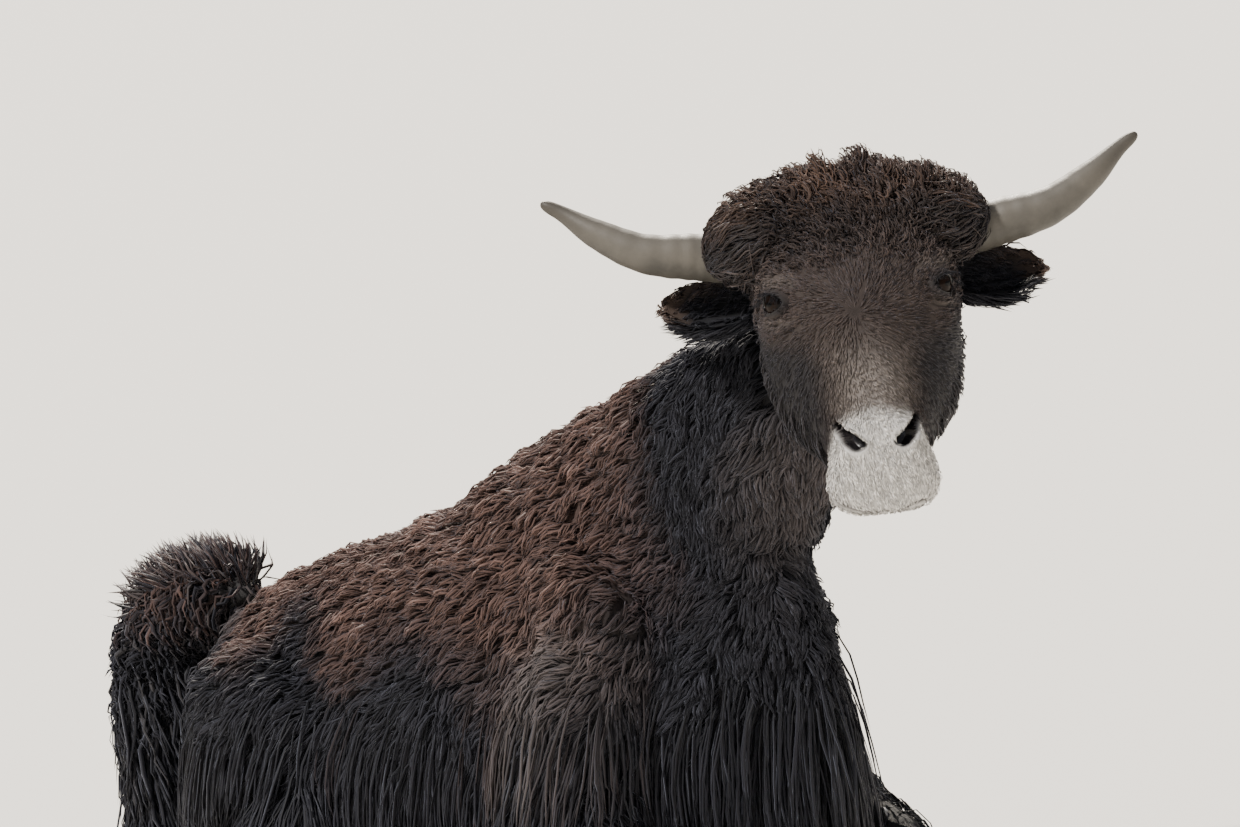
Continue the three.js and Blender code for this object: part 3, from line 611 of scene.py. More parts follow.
def bodyMarkings(points, normals):
    x, y, z = points.T
    uneven = ripple(points, 0.16, 3)
    # the brown back against the black neck, hump and lower body: coat colour, and partly painted light, brown
    # where the back's top is lit and black where the neck and hump stand in shade
    edge = 0.325 - 0.06 * smooth(x, -0.1, 0.15)
    brown = smooth(z + 0.03 * uneven - edge, 0, 0.085) * (1 - smooth(x + 0.03 * uneven, 0.16, 0.30))
    brown = brown * smooth(x + 0.03 * uneven, -0.46, -0.36)
    shade = paint(allOver("black", points), "brown", brown)
    fold = np.exp(-(((x - 0.17) / 0.06) ** 2) - ((z - 0.33) / 0.045) ** 2) * (np.abs(y) > 0.12)
    root = np.exp(-(((x + 0.45) / 0.045) ** 2) - ((z - 0.41) / 0.06) ** 2)
    shade = paint(shade, "grey", 0.55 * fold + 0.7 * root)
    throat = smooth(normals @ unit(np.array([0.75, -0.45, -0.35])), 0.55, 0.95) * smooth(x, 0.3, 0.4)
    shade = paint(shade, "throat", 0.6 * throat * smooth(z, 0.3, 0.45))
    return shade * (1 + 0.16 * ripple(points, 0.05, 5))[:, None]


def headMarkings(points):
    places = toHead(points)
    a, u, n = places.T
    wide = np.abs(a)
    uneven = ripple(points, 0.05, 9)
    shade = allOver("face", points)
    shade = paint(shade, "cheek", smooth(-n + 0.35 * (-u) + 6 * uneven, 12, 62) * smooth(wide, 30, 62))
    shade = paint(shade, "cheek", 0.75 * smooth(-n, 78, 112))
    pale = bell(a, 42) * smooth(-u + 5 * uneven, 30, 150) * smooth(n, -45, -10)
    shade = paint(shade, "bridge", pale)
    white = smooth(-seenHeight(places) + 3 * uneven + 8 * bell(a, 22), 102, 124)
    white = white * smooth(-u + 3 * uneven, 136, 166)
    shade = paint(shade, "muzzle", white * (1 - 0.55 * smooth(-n, 96, 112)))
    shade = paint(shade, "crownDark", smooth(u + 8 * uneven, 20, 80))
    middle = bell(a - 4, 62) * bell(u - 104, 32) * smooth(n, -40, 10)
    shade = paint(shade, "crownBrown", middle * (0.75 + 0.4 * uneven))
    side = bell(wide - 92, 26) * smooth(u, 70, 100) * smooth(n, -60, 0)
    shade = paint(shade, "crownBrown", 0.45 * side)
    for way in sides.values():
        p, q, r = toEye(places, way).T
        ring = np.hypot(p / 20, q / 14)
        shade = paint(shade, "lid", 0.85 * (1 - smooth(ring, 0.75, 1.2)) * (r > -8))
        # pale patches on the brow fold above each eye and on the bag below it: painted highlight, partly paler
        # fur round the eye
        browHighlight = np.exp(-((p / 24) ** 2) - ((q - 21) / 6) ** 2) * (r > -8)
        bag = np.exp(-((p / 22) ** 2) - ((q + 19) / 6) ** 2) * (r > -8)
        shade = paint(shade, "bridge", 0.26 * browHighlight + 0.16 * bag)
    # painted shade: the nostril holes and the groove of the mouth painted near-black in the lid colour
    shade = paint(shade, "lid", smooth(nostrilShare(places), -0.25, 0.15))
    shade = paint(shade, "lid", 0.9 * mouthShare(places)[0])
    return shade * (1 + 0.14 * ripple(points, 0.018, 6))[:, None]


def earMarkings(points):
    places = toHead(points)
    wide = np.abs(places[:, 0])
    shade = paint(allOver("black", points), "earTip", 0.85 * smooth(wide, 158, 186))
    return paint(shade, "earTip", 0.35 * smooth(places[:, 1], 92, 112) * smooth(wide, 120, 150))


def alongSkin(directions, normals):  # what is left of a direction without its part along the normal
    return unit(directions - normals * dot(directions, normals))


def headDirection(direction):  # a direction in the head's own space, turned to that of the scene
    return unit(fromHead(np.array([direction], float)) - fromHead(np.zeros((1, 3))))


def lieOnBody(points, normals):
    # The hair runs rearward and down; low down, at the throat and on the legs it runs mostly down.
    x, y, z = points.T
    low = 1 - smooth(z, 0.15, 0.36)
    front = smooth(x, 0.18, 0.36)
    back = mix(mix(-0.9, -0.22, low), -0.4, front)
    wanted = np.stack([back, 0.22 * np.tanh(y / 0.05), -0.75 - 0.3 * low], -1)
    return alongSkin(wanted, normals)


whorl = {"place": [-6, -36, 13], "swirl": 0.22}


def lieOnHead(points, normals):
    # The hair runs out from a whorl between the eyes, with a slight swirl.
    ray = alongSkin(points - fromHead(np.array([whorl["place"]], float)), normals)
    return unit(ray + whorl["swirl"] * np.cross(normals, ray))


# Skin: body, head, eye surrounds, ears and dome in one piece
def flowOf(points, lie, squeeze=0.86):  # the place with its run along the hair pressed together
    return points - squeeze * lie * dot(points, lie)


def headFlow(points):
    # Streaks run out from the whorl: distance from it counts little, the turn about it counts much.
    a, u, n = (toHead(points) - np.array(whorl["place"])).T
    far = np.sqrt(a**2 + u**2 + n**2)
    turn = np.arctan2(u, a)
    return np.stack([0.12 * far, 60 * np.cos(turn), 60 * np.sin(turn)], -1) * mm


surroundParts = joinForms(surroundForms)
surroundDark = np.concatenate([s[3] for s in surrounds.values()])
earParts = joinForms(list(earForms.values()))
skinForm = joinForms([body, headForm, surroundParts, dome, earParts])
skinNormals = normalsOf(*skinForm)
surroundColour = headMarkings(surroundParts[0])
surroundColour = mix(surroundColour, colour["lid"] * 0.6, (1 - smooth(surroundDark, 0.03, 0.2))[:, None])
domeColour, headColour = headMarkings(dome[0]), headMarkings(headForm[0])
skinColour = np.concatenate(
    [bodyMarkings(body[0], bodyNormals), headColour, surroundColour, domeColour, earMarkings(earParts[0])]
)
bare = smooth(nostrilShare(toHead(headForm[0])), -0.3, 0.1)
rims = 1 - smooth(surroundDark, 0.02, 0.12)
wetness = np.concatenate([np.zeros(len(body[0])), bare, rims, np.zeros(len(dome[0]) + len(earParts[0]))])
flow = np.concatenate(
    [
        flowOf(body[0], lieOnBody(body[0], bodyNormals)),
        headFlow(headForm[0]),
        headFlow(surroundParts[0]),
        dome[0],
        flowOf(earParts[0], headDirection([1, 0, 0])),
    ]
)
skin = makeObject("skin", *skinForm, {"coatColour": skinColour, "flow": flow, "wetness": wetness})
print("skin triangles", 2 * len(skinForm[1]) + len(skinForm[2]))


# Where the skin is: each cell of space near it knows its nearest point.
class SkinMap:
    def __init__(self, points, normals, cell=0.01, passes=7):
        self.points, self.normals, self.cell = points, normals, cell
        self.low = points.min(0) - cell * (passes + 2)
        self.shape = np.ceil((points.max(0) - self.low) / cell + passes + 3).astype(int)
        centres = self.low + (np.stack(np.indices(self.shape), -1) + 0.5) * cell
        self.index = np.full(self.shape, -1)
        cells = ((points - self.low) / cell).astype(int)
        far = np.linalg.norm(points - centres[tuple(cells.T)], axis=1)
        order = np.argsort(-far)
        self.index[tuple(cells[order].T)] = order
        nearest = np.full(self.shape, farAway)
        held = self.index >= 0
        nearest[held] = np.linalg.norm(points[self.index[held]] - centres[held], axis=-1)
        for _ in range(passes):
            for axis in range(3):
                for way in (-1, 1):
                    other = np.roll(self.index, way, axis)
                    spots = np.nonzero(other >= 0)
                    distance = np.linalg.norm(points[other[spots]] - centres[spots], axis=-1)
                    better = distance < nearest[spots]
                    spots = tuple(part[better] for part in spots)
                    nearest[spots] = distance[better]
                    self.index[spots] = other[spots]

    def near(self, points):
        # The nearest skin point's normal, and how far above the skin a place is along it.
        cells = np.clip(((points - self.low) / self.cell).astype(int), 0, self.shape - 1)
        index = self.index[tuple(cells.T)]
        normal = self.normals[index]
        gap = dot(points - self.points[index], normal)
        gap[index < 0] = 1.0
        return normal, gap


skinMap = SkinMap(skinForm[0], skinNormals)
print("skin map", skinMap.shape)


def scatter(form, normals, weightOf, count, dice):
    # Random places on the surface, more where the weight times the area of a face is larger.
    points, quads = form[0], form[1]
    cross = faceCross(points, quads)
    weight = np.linalg.norm(cross, axis=1) * weightOf(points[quads].mean(1), unit(cross))
    total = np.cumsum(weight)
    picked = quads[np.searchsorted(total, dice.uniform(0, total[-1], count))]
    s, t = dice.uniform(0, 1, (2, count, 1))
    shares = [(1 - s) * (1 - t), s * (1 - t), s * t, (1 - s) * t]
    return tuple(
        sum(share * values[picked[:, k]] for k, share in enumerate(shares)) for values in (points, normals)
    )


lowestHair = 0.002


def growTufts(size, roots, normals, lie, dice, reach=1.0, tall=1.0):
    # Each tuft creeps along the skin from its root, rises to the coat's depth and waves or curls;
    # tufts of one clump lean together towards their tips. Returns the line of points of each tuft.
    count, steps = len(roots), size["steps"]
    length = dice.uniform(*size["length"], (count, 1)) * reach
    depth = dice.uniform(*size["depth"], (count, 1)) * tall
    normal, heading, base = normals, lie, roots
    path, frames = [roots - normals * size["sink"]], [(normals, lie)]
    fall = np.array([0, 0, -1.0])
    for k in range(1, steps + 1):
        t = k / steps
        heading = unit(heading + size["fall"] * fall)
        base = base + heading * length / steps
        normal, gap = skinMap.near(base)
        base = base - normal * np.where(gap < 0, gap, size["hold"] * np.clip(gap, 0, 0.02))
        heading = unit(heading - size["hold"] * normal * dot(heading, normal))
        path.append(base + normal * depth * (t ** size["rise"]) * (1 - size["settle"] * t * t))
        frames.append((normal, heading))
    path = np.stack(path, 1)
    t = np.linspace(0, 1, steps + 1)[None, :, None]
    cell = size["clump"]
    wobble = roots + 0.4 * cell * np.sin(roots[:, [1, 2, 0]] / cell)
    keys = np.unique(np.floor(wobble / cell).astype(int), axis=0, return_inverse=True)[1].ravel()
    groups = np.maximum(np.bincount(keys), 1)
    flat = path.reshape(count, -1)
    middle = np.stack([np.bincount(keys, flat[:, k]) / groups for k in range(flat.shape[1])], -1)[keys]
    path = path + (middle.reshape(path.shape) - path) * size["pull"] * t**1.5
    up, ahead = (np.stack(part, 1) for part in zip(*frames))
    side = unit(np.cross(up, ahead))
    phase = (dice.uniform(0, 6.28, len(groups))[keys] + dice.normal(0, 0.5, count))[:, None, None]
    turns = dice.uniform(*size["turns"], (count, 1, 1))
    angle = 6.283 * turns * t + phase
    swing = size["wave"] * np.minimum(1, 2.5 * t)
    path = path + side * swing * np.sin(angle) + up * swing * size["spring"] * np.cos(angle)
    path[:, :, 2] = np.maximum(path[:, :, 2], lowestHair)
    return path, side, up


# the width along a tuft, its patch of the map, and how the strands in its shading are spread
tuftLook = {
    "root": 0.45, "swell": 1.6, "power": 0.75, "scale": 0.86, "patch": 0.003, "strands": 3, "spread": 40,
}


def tuftPiece(name, size, grown, shade, rootUv, dice, material):
    # A tuft is three-sided: two corners lie flat and one stands up, all drawn to a point at the tip.
    path, side, up = grown
    count, steps = path.shape[0], path.shape[1] - 1
    width = dice.uniform(*size["width"], (count, 1, 1))
    t = np.linspace(0, 1, steps + 1)[:-1]
    taper = (tuftLook["root"] + tuftLook["swell"] * t) * (1 - t) ** tuftLook["power"] / tuftLook["scale"]
    roll = dice.normal(0, size["roll"], (count, 1, 1))
    across = side * np.cos(roll) + up * np.sin(roll)
    stand = up * np.cos(roll) - side * np.sin(roll)
    half = 0.5 * width * taper[None, :, None]
    line = path[:, :-1]
    aside, above = across[:, :-1] * half, stand[:, :-1] * half * size["flat"]
    rings = np.stack([line - aside, line + aside, line + above], 2)
    points = np.concatenate([rings.reshape(count, -1, 3), path[:, -1:]], 1)
    each = 3 * steps + 1
    quads = gridQuads(steps, 3)
    j, last = np.arange(3), 3 * (steps - 1)
    tris = np.stack([last + j, last + (j + 1) % 3, np.full(3, 3 * steps)], -1)
    starts = (np.arange(count) * each)[:, None, None]
    along = np.append(np.repeat(t, 3), 1.0)
    corner = np.append(np.tile([0.0, 1.0, 0.5], steps), 0.5)
    tint = dice.uniform(1 - size["uneven"], 1 + size["uneven"], (count, 1))
    points = points.reshape(-1, 3)
    patch = np.stack([corner - 0.5, along - 0.5], -1)[None] * tuftLook["patch"]
    uv = (rootUv[:, None] + patch).reshape(-1, 2)
    drawn = dice.uniform(0, tuftLook["spread"], (count, 1))
    made = makeObject(
        name,
        points,
        (quads[None] + starts).reshape(-1, 4),
        (tris[None] + starts).reshape(-1, 3),
        {
            "coatColour": np.repeat(shade * tint, each, 0),
            "along": np.tile(along, count),
            "strand": (corner[None] * tuftLook["strands"] + drawn).ravel(),
        },
        np.clip(uv, 0.001, 0.999),
    )
    made.data.materials.append(material)
    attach(made, "root")
    print(name, count, "tufts,", count * (6 * steps - 3), "triangles")


# Shader maths on sockets
class Wire:
    def __init__(self, tree, socket):
        self.tree, self.socket = tree, socket

    def maths(self, operation, *others):
        return node(self.tree, "ShaderNodeMath", {"operation": operation}, list(others))

    def __add__(self, other):
        return self.maths("ADD", self, other)

    def __radd__(self, other):
        return self.maths("ADD", other, self)

    def __sub__(self, other):
        return self.maths("SUBTRACT", self, other)

    def __rsub__(self, other):
        return self.maths("SUBTRACT", other, self)

    def __mul__(self, other):
        return self.maths("MULTIPLY", self, other)

    def __rmul__(self, other):
        return self.maths("MULTIPLY", other, self)

    def __pow__(self, other):
        return self.maths("POWER", self, other)


def node(tree, kind, settings=None, inputs=None, output=0):
    # Any node: its settings first, then values or wires for its sockets, by number or name.
    made = tree.nodes.new(kind)
    for label, value in (settings or {}).items():
        setattr(made, label, value)
    pairs = enumerate(inputs) if isinstance(inputs, list) else (inputs or {}).items()
    for label, value in pairs:
        if isinstance(value, Wire):
            tree.links.new(value.socket, made.inputs[label])
        elif value is not None:
            made.inputs[label].default_value = value
    return Wire(tree, made.outputs[output])


def newMaterial(name):
    material = bpy.data.materials.new(name)
    material.use_nodes = True
    tree = material.node_tree
    return material, tree, tree.nodes["Principled BSDF"]


def attribute(tree, name, output="Fac"):
    return node(tree, "ShaderNodeAttribute", {"attribute_name": name}, output=output)


def setSurface(tree, shader, colour=None, normal=None, roughness=None, **values):
    for label, wire in (("Base Color", colour), ("Normal", normal), ("Roughness", roughness)):
        if isinstance(wire, Wire):
            tree.links.new(wire.socket, shader.inputs[label])
        elif wire is not None:
            shader.inputs[label].default_value = wire
    for label, value in values.items():
        shader.inputs[label.replace("_", " ")].default_value = value


def tinted(tree, colour, share):  # the colour times a number that changes over the surface
    grey = node(tree, "ShaderNodeCombineColor", {}, [share, share, share])
    settings = {"data_type": "RGBA", "blend_type": "MULTIPLY", "clamp_result": False}
    return node(tree, "ShaderNodeMix", settings, {0: 1.0, 6: colour, 7: grey}, output=2)


def blended(tree, share, one, other):  # one colour where the share is 0, the other where it is 1
    return node(tree, "ShaderNodeMix", {"data_type": "RGBA"}, {0: share, 6: one, 7: other}, output=2)


def noise(tree, place, scale, detail, rough=0.5):
    inputs = {"Vector": place, "Scale": scale, "Detail": detail, "Roughness": rough}
    return node(tree, "ShaderNodeTexNoise", {}, inputs)


def bumpy(tree, strength, distance, height):
    return node(tree, "ShaderNodeBump", {}, {"Strength": strength, "Distance": distance, "Height": height})


def stretched(tree, value, *limits):  # from the first pair of limits to the second, and held there
    return node(tree, "ShaderNodeMapRange", {"clamp": True}, [value, *limits])


def coatMaterial(name, paintedRootShade=0.45, paintedTipLight=1.25, roughness=0.62, sheen=0.25):
    material, tree, shader = newMaterial(name)
    along, strand = attribute(tree, "along"), attribute(tree, "strand")
    shade = attribute(tree, "coatColour", "Color")
    fine = node(tree, "ShaderNodeMath", {"operation": "SINE"}, [strand * 6.0]) * 0.5 + 0.5
    # painted shade at the roots, deep in the coat, and painted light on the tips; fine strand stripes over
    # both
    share = (paintedRootShade + (paintedTipLight - paintedRootShade) * along**0.7) * (0.9 + 0.2 * fine)
    bump = bumpy(tree, 0.5, 0.0006, fine)
    setSurface(
        tree, shader, tinted(tree, shade, share), bump, roughness, Sheen_Weight=sheen, Sheen_Roughness=0.4,
        Sheen_Tint=(0.75, 0.8, 1, 1), Specular_IOR_Level=0.22,
    )
    return material


woolMaterial = coatMaterial("wool", 0.46, 1.45, 0.8, 0.1)
hairMaterial = coatMaterial("long hair", 0.5, 1.2, 0.55, 0.12)
furMaterial = coatMaterial("short fur", 0.78, 1.22, 0.65, 0.1)


def skinMaterial():
    material, tree, shader = newMaterial("short hair and skin")
    flowing = attribute(tree, "flow", "Vector")
    streak = noise(tree, flowing, 900.0, 3.0)
    wet = attribute(tree, "wetness")
    # painted shade: the skin under the coat darkened to about two thirds, with streaks along the hair
    shade = tinted(tree, attribute(tree, "coatColour", "Color"), 0.34 + 0.62 * streak)
    bump = bumpy(tree, 0.7, 0.0012, streak * (1 - wet))
    setSurface(tree, shader, shade, bump, 0.75 - 0.5 * wet, Specular_IOR_Level=0.35)
    return material


skin.data.materials.append(skinMaterial())
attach(skin, "root")
legNodes = [f"leg_{kind}_{side}" for kind in ("fore", "hind") for side in sides]
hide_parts("head", "neck", "torso", "tail", "ear_left", "ear_right", *legNodes)


# Eyes
def eyeBall(side, way):
    v, turn = ringSteps(48, 64)
    tilt = np.pi * v
    out = np.stack([np.sin(tilt) * np.cos(turn), np.sin(tilt) * np.sin(turn), np.cos(tilt) + 0 * turn], -1)
    form = closedForm(fromHead(fromEye(out * eyes["radius"], way)))
    spots = toEye(toHead(form[0]), way)
    made = makeObject(f"eye {side}", *form, {"irisAcross": spots[:, 0], "irisUp": spots[:, 1]})
    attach(made, "root")
    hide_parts(f"eye_{side}")
    return made


def ovalShare(p, q, half):  # 0 in the middle of an oval and 1 on its edge: (p / its half width)^2 and so on
    return (p * (1 / half[0])) ** 2.0 + (q * (1 / half[1])) ** 2.0


def eyeMaterial():
    material, tree, shader = newMaterial("eye")
    p, q = attribute(tree, "irisAcross"), attribute(tree, "irisUp")
    inside = stretched(tree, ovalShare(p, q, eyes["pupil"]), 0.8, 1.2, 1.0, 0.0)
    outer = stretched(tree, ovalShare(p, q, eyes["iris"]), 0.85, 1.1, 0.0, 1.0)
    mixed = blended(tree, inside, eyes["irisColour"], eyes["pupilColour"])
    mixed = blended(tree, outer, mixed, eyes["rimColour"])
    setSurface(tree, shader, mixed, None, 0.4, Coat_Weight=0.16, Coat_Roughness=0.01, Specular_IOR_Level=0.02)
    return material


eyeSurface = eyeMaterial()
for side, way in sides.items():
    eyeBall(side, way).data.materials.append(eyeSurface)

# Horns
horn = {
    "stations": [[60, 104, -58, 25, 25], [150, 111, -41, 24, 24], [206, 117, -32, 20, 20],
                 [251, 140, -20, 15, 15], [284, 164, -9, 8.2, 8.2], [304, 175, -2, 8, 8]],
    "around": 48, "along": 110, "blunt": 14, "reach": 304, "thick": 24, "ridge": 0.35,
    # shade: the horn's darker colour, used both for its mottling and for the painted shade on its underside
    "pale": (0.135, 0.122, 0.102, 1), "shade": (0.042, 0.040, 0.035, 1), "tip": (0.05, 0.044, 0.036, 1),
}


def hornPiece(side, way):
    rings = limbRings(horn["stations"], horn["around"], horn["along"], horn["blunt"])
    v = np.linspace(0, 1, horn["along"] + 1)
    centre = rings.mean(1, keepdims=True)
    ridges = horn["ridge"] * np.sin(v * 120 + 2 * np.sin(v * 17)) * (1 - smooth(v, 0.45, 0.85))
    rings = centre + (rings - centre) * (1 + ridges / horn["thick"])[:, None, None]
    form = closedForm(fromHead(rings * np.array([way, 1, 1])))
    along = np.abs(toHead(form[0])[:, 0])
    # under: painted shade, the downward-facing side of the horn darkened by its normals, a little uneven
    under = smooth(-normalsOf(*form)[:, 2] + 0.25 * ripple(form[0], 0.05, 31), -0.35, 0.75)
    made = makeObject(f"horn {side}", *form, {"along": along / horn["reach"], "under": under})
    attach(made, "root")
    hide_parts(f"horn_{side}")
    return made


def hornMaterial():
    material, tree, shader = newMaterial("horn")
    along = attribute(tree, "along")
    place = node(tree, "ShaderNodeTexCoord", output="Object")
    cloudy, grain = noise(tree, place, 21.0, 9.0, 0.7), noise(tree, place, 420.0, 3.0)
    # the horn's own cloudy mottling, plus painted shade on its underside
    mottleAndUnderShade = stretched(tree, cloudy, 0.4, 0.72, 0.0, 0.4) + 0.6 * attribute(tree, "under")
    tip = stretched(tree, along, 0.80, 1.0, 0.0, 0.9)
    shade = blended(tree, tip, blended(tree, mottleAndUnderShade, horn["pale"], horn["shade"]), horn["tip"])
    bump = bumpy(tree, 0.4, 0.0006, grain * 0.5 + cloudy)
    setSurface(tree, shader, shade, bump, 0.42 + 0.25 * grain, Specular_IOR_Level=0.4)
    return material


hornSurface = hornMaterial()
for side, way in sides.items():
    hornPiece(side, way).data.materials.append(hornSurface)

# Hooves: two claws to each foot, flat below.
hoof = {
    "halfWidth": 17, "halfDepth": 19, "spread": 19.5, "lowest": 0.3,
    "dark": (0.03, 0.027, 0.025, 1), "pale": (0.085, 0.078, 0.07, 1),
    "fore": {"rear": 162, "front": 62, "cleft": 145}, "hind": {"rear": -262, "front": -162, "cleft": 263},
}


def clawPiece(kind, side, which, turn):
    way, tuck = sides[side], limbs["tuck"][side]
    rear, front, cleft = (hoof[kind][part] for part in ("rear", "front", "cleft"))
    y = way * (cleft - tuck + turn * hoof["spread"])
    lean = way * turn * 4
    wide, deep = hoof["halfWidth"], hoof["halfDepth"]
    stations = [
        [rear, y - lean, 21, wide * 0.92, deep * 0.9],
        [(rear + front) / 2, y, 17, wide, deep],
        [front, y - 2 * lean, 8, wide * 0.45, deep * 0.5],
    ]
    points, quads, tris = closedForm(limbRings(stations, 32, 30, 8))
    points[:, 2] = np.maximum(points[:, 2], hoof["lowest"])
    made = makeObject(f"hoof {kind} {side} {which}", points * mm, quads, tris)
    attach(made, "root")
    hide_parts(f"hoof_{kind}_{side}_{which}")
    return made


def hoofMaterial():
    material, tree, shader = newMaterial("hoof")
    place = node(tree, "ShaderNodeTexCoord", output="Object")
    grain = noise(tree, place, 140.0, 4.0)
    shade = blended(tree, grain, hoof["dark"], hoof["pale"])
    setSurface(tree, shader, shade, bumpy(tree, 0.4, 0.001, grain), 0.5)
    return material


hoofSurface = hoofMaterial()
for kind in ("fore", "hind"):
    for side in sides:
        for which, turn in (("inner", -1), ("outer", 1)):
            clawPiece(kind, side, which, turn).data.materials.append(hoofSurface)
print("eyes, horns and hooves made")


# Coat of the body
def roundShare(turn):  # a turn between half a circle back and half a circle on, as a share of 0.01 to 0.99
    return (turn / 6.2832 + 0.5) * 0.98 + 0.01


def bodyUnwrap(points):
    # Round the body's length on one axis, along it on the other.
    turn = np.arctan2(points[:, 1], points[:, 2] - 0.2)
    return np.stack([roundShare(turn), (points[:, 0] + 0.72) / 1.4], -1)


def inHead(points):  # whether a place is inside the head
    a, u, n = toHead(points).T
    inside = (np.abs(a) < headLines["headWidth"](u) - 6) & (n < headLines["faceLine"](u) - 4)
    return inside & (n > headLines["jawLine"](u) + 6) & (u > head["noseEnd"]) & (u < 160)


def lineDistance(points, stations):  # the distance to a line of stations
    stations = np.array(stations, float)[:, :3] * mm
    shares = np.linspace(0, 1, 8)[:, None]
    least = np.full(len(points), farAway)
    for a, b in zip(stations[:-1], stations[1:]):
        for spot in mix(a, b, shares):
            least = np.minimum(least, np.linalg.norm(points - spot, axis=1))
    return least


def onFeet(points):  # 1 on the lower legs, where the hair is short
    least = np.full(len(points), farAway)
    for side in sides:
        for kind in ("foreLeg", "hindLeg"):
            least = np.minimum(least, lineDistance(points, placedLeg(limbs[kind][-1], side)))
    return 1 - smooth(least, 0.035, 0.05)


def onTail(points):
    return 1 - smooth(lineDistance(points, limbs["tail"][1:]), 0.055, 0.075)


def swirled(roots, normals, lie, amount, size, seed):
    # The lie, turned this way and that by slow ripples, so that the clumps don't all run alike.
    turn = amount * ripple(roots, size, seed)[:, None]
    return unit(lie + turn * np.cross(normals, lie))


def coatPiece(name, size, rooted, kind, dice, material, reachOf=None, tallOf=None):
    # One piece from its roots. The dice give the lie first, then the tufts, their colours and their widths.
    roots, normals = rooted
    lie = kind["lie"](roots, normals) + size["loose"] * dice.normal(size=roots.shape)
    lie = alongSkin(lie, normals) if kind["pressed"] else unit(lie)
    if size.get("swirl"):
        lie = swirled(roots, normals, lie, *size["swirl"])
    reach, tall = (1.0 if part is None else part(roots) for part in (reachOf, tallOf))
    grown = growTufts(size, roots, normals, lie, dice, reach, tall)
    shade = kind["markings"](roots, normals, dice)
    tuftPiece(name, size, grown, shade, kind["unwrap"](roots), dice, material)


bodyCoat = {
    "lie": lieOnBody, "pressed": False, "unwrap": bodyUnwrap,
    "markings": lambda p, n, dice: bodyMarkings(p, n),
}
shortWool = {
    "counts": {"right": 13000, "left": 8000}, "steps": 3, "length": (0.021, 0.036), "depth": (0.008, 0.017),
    "width": (0.0028, 0.0047), "flat": 0.8, "sink": 0.003, "fall": 0.02, "hold": 1.0, "rise": 0.75,
    "settle": 0.25, "clump": 0.019, "pull": 0.74, "wave": 0.0034, "turns": (0.5, 0.9), "spring": 0.8,
    "roll": 0.45, "uneven": 0.22, "loose": 0.14, "swirl": (0.5, 0.09, 12), "tufts": (0.034, 13),
}


# the same ripple that makes the wool's lumps taller makes them lighter: painted light on the lumps and painted
# shade between them
def woolMarkings(points, normals, dice):
    return bodyMarkings(points, normals) * (1 + 0.3 * ripple(points, *shortWool["tufts"]))[:, None]


def woolWeight(points, normals, way):
    x, y, z = points.T
    here = smooth(way * y, -0.012, 0.0) * smooth(z, 0.19, 0.30) * (1 - smooth(x, 0.27, 0.33))
    return here * (1 - onTail(points))


def bothSides(name, size, weightOf, seed, kind, material, reachOf, tallOf=None):
    for side, way in sides.items():
        dice = np.random.default_rng(seed + way)
        rooted = scatter(body, bodyNormals, lambda p, n: weightOf(p, n, way), size["counts"][side], dice)
        coatPiece(f"{name} {side}", size, rooted, kind, dice, material, reachOf, tallOf)


bothSides(
    "wool", shortWool, woolWeight, 41, {**bodyCoat, "markings": woolMarkings}, woolMaterial,
    lambda p: 1 + 0.9 * (1 - smooth(p[:, 2:], 0.24, 0.36)),
    lambda p: 1 + 0.5 * ripple(p, *shortWool["tufts"])[:, None],
)

neckWool = {
    **shortWool, "count": 11000, "length": (0.023, 0.040), "clump": 0.024, "pull": 0.55, "loose": 0.16,
    "swirl": (0.5, 0.1, 14),
}
dice = np.random.default_rng(7)


def neckWeight(points, normals):
    x, z = points[:, 0], points[:, 2]
    return smooth(x, 0.25, 0.31) * smooth(z, 0.24, 0.34) * ~inHead(points)


coatPiece(
    "neck wool", neckWool, scatter(body, bodyNormals, neckWeight, neckWool["count"], dice), bodyCoat, dice,
    woolMaterial, tallOf=lambda p: 1 + 0.4 * ripple(p, 0.04, 15)[:, None],
)

longHair = {
    "counts": {"right": 5700, "left": 3700}, "steps": 5, "length": (0.12, 0.19), "depth": (0.006, 0.022),
    "width": (0.0024, 0.0050), "flat": 0.6, "sink": 0.004, "fall": 0.45, "hold": 0.0, "rise": 0.5,
    "settle": 0.0, "clump": 0.028, "pull": 0.5, "wave": 0.0034, "turns": (0.6, 1.2), "spring": 0.5,
    "roll": 0.5, "uneven": 0.3, "loose": 0.12, "swirl": (0.3, 0.1, 16),
}


def longWeight(points, normals, way):
    y, z = points.T[1:]
    here = smooth(z, 0.03, 0.08) * (1 - smooth(z, 0.26, 0.34)) * smooth(normals[:, 2], -0.75, -0.2)
    here = here * smooth(way * y, -0.006, 0.0)
    return here * (1 - onFeet(points)) * (1 - onTail(points)) * ~inHead(points)


bothSides(
    "long hair", longHair, longWeight, 23, bodyCoat, hairMaterial,
    lambda p: np.clip((p[:, 2:] - lowestHair) / 0.17, 0.12, 1),
)

legHair = {
    **shortWool, "count": 2700, "length": (0.016, 0.028), "depth": (0.003, 0.008), "width": (0.0025, 0.0045),
    "clump": 0.012, "wave": 0.001, "sink": 0.002, "loose": 0.15, "swirl": None,
}
dice = np.random.default_rng(29)


def legWeight(points, normals):
    return onFeet(points) * smooth(points[:, 2], 0.004, 0.012)


def legUnwrap(points):
    x, y, z = points.T
    return np.stack([(x + 0.6) / 1.1, 0.25 + 0.5 * (y > 0) + np.tanh(z * 8) * 0.2], -1)


coatPiece(
    "leg hair", legHair, scatter(body, bodyNormals, legWeight, legHair["count"], dice),
    {**bodyCoat, "unwrap": legUnwrap}, dice, furMaterial,
)

# Tail: ringlets on its root and long hair below.
tailForm = closedForm(tailRings() * mm)
tailNormals = normalsOf(*tailForm)


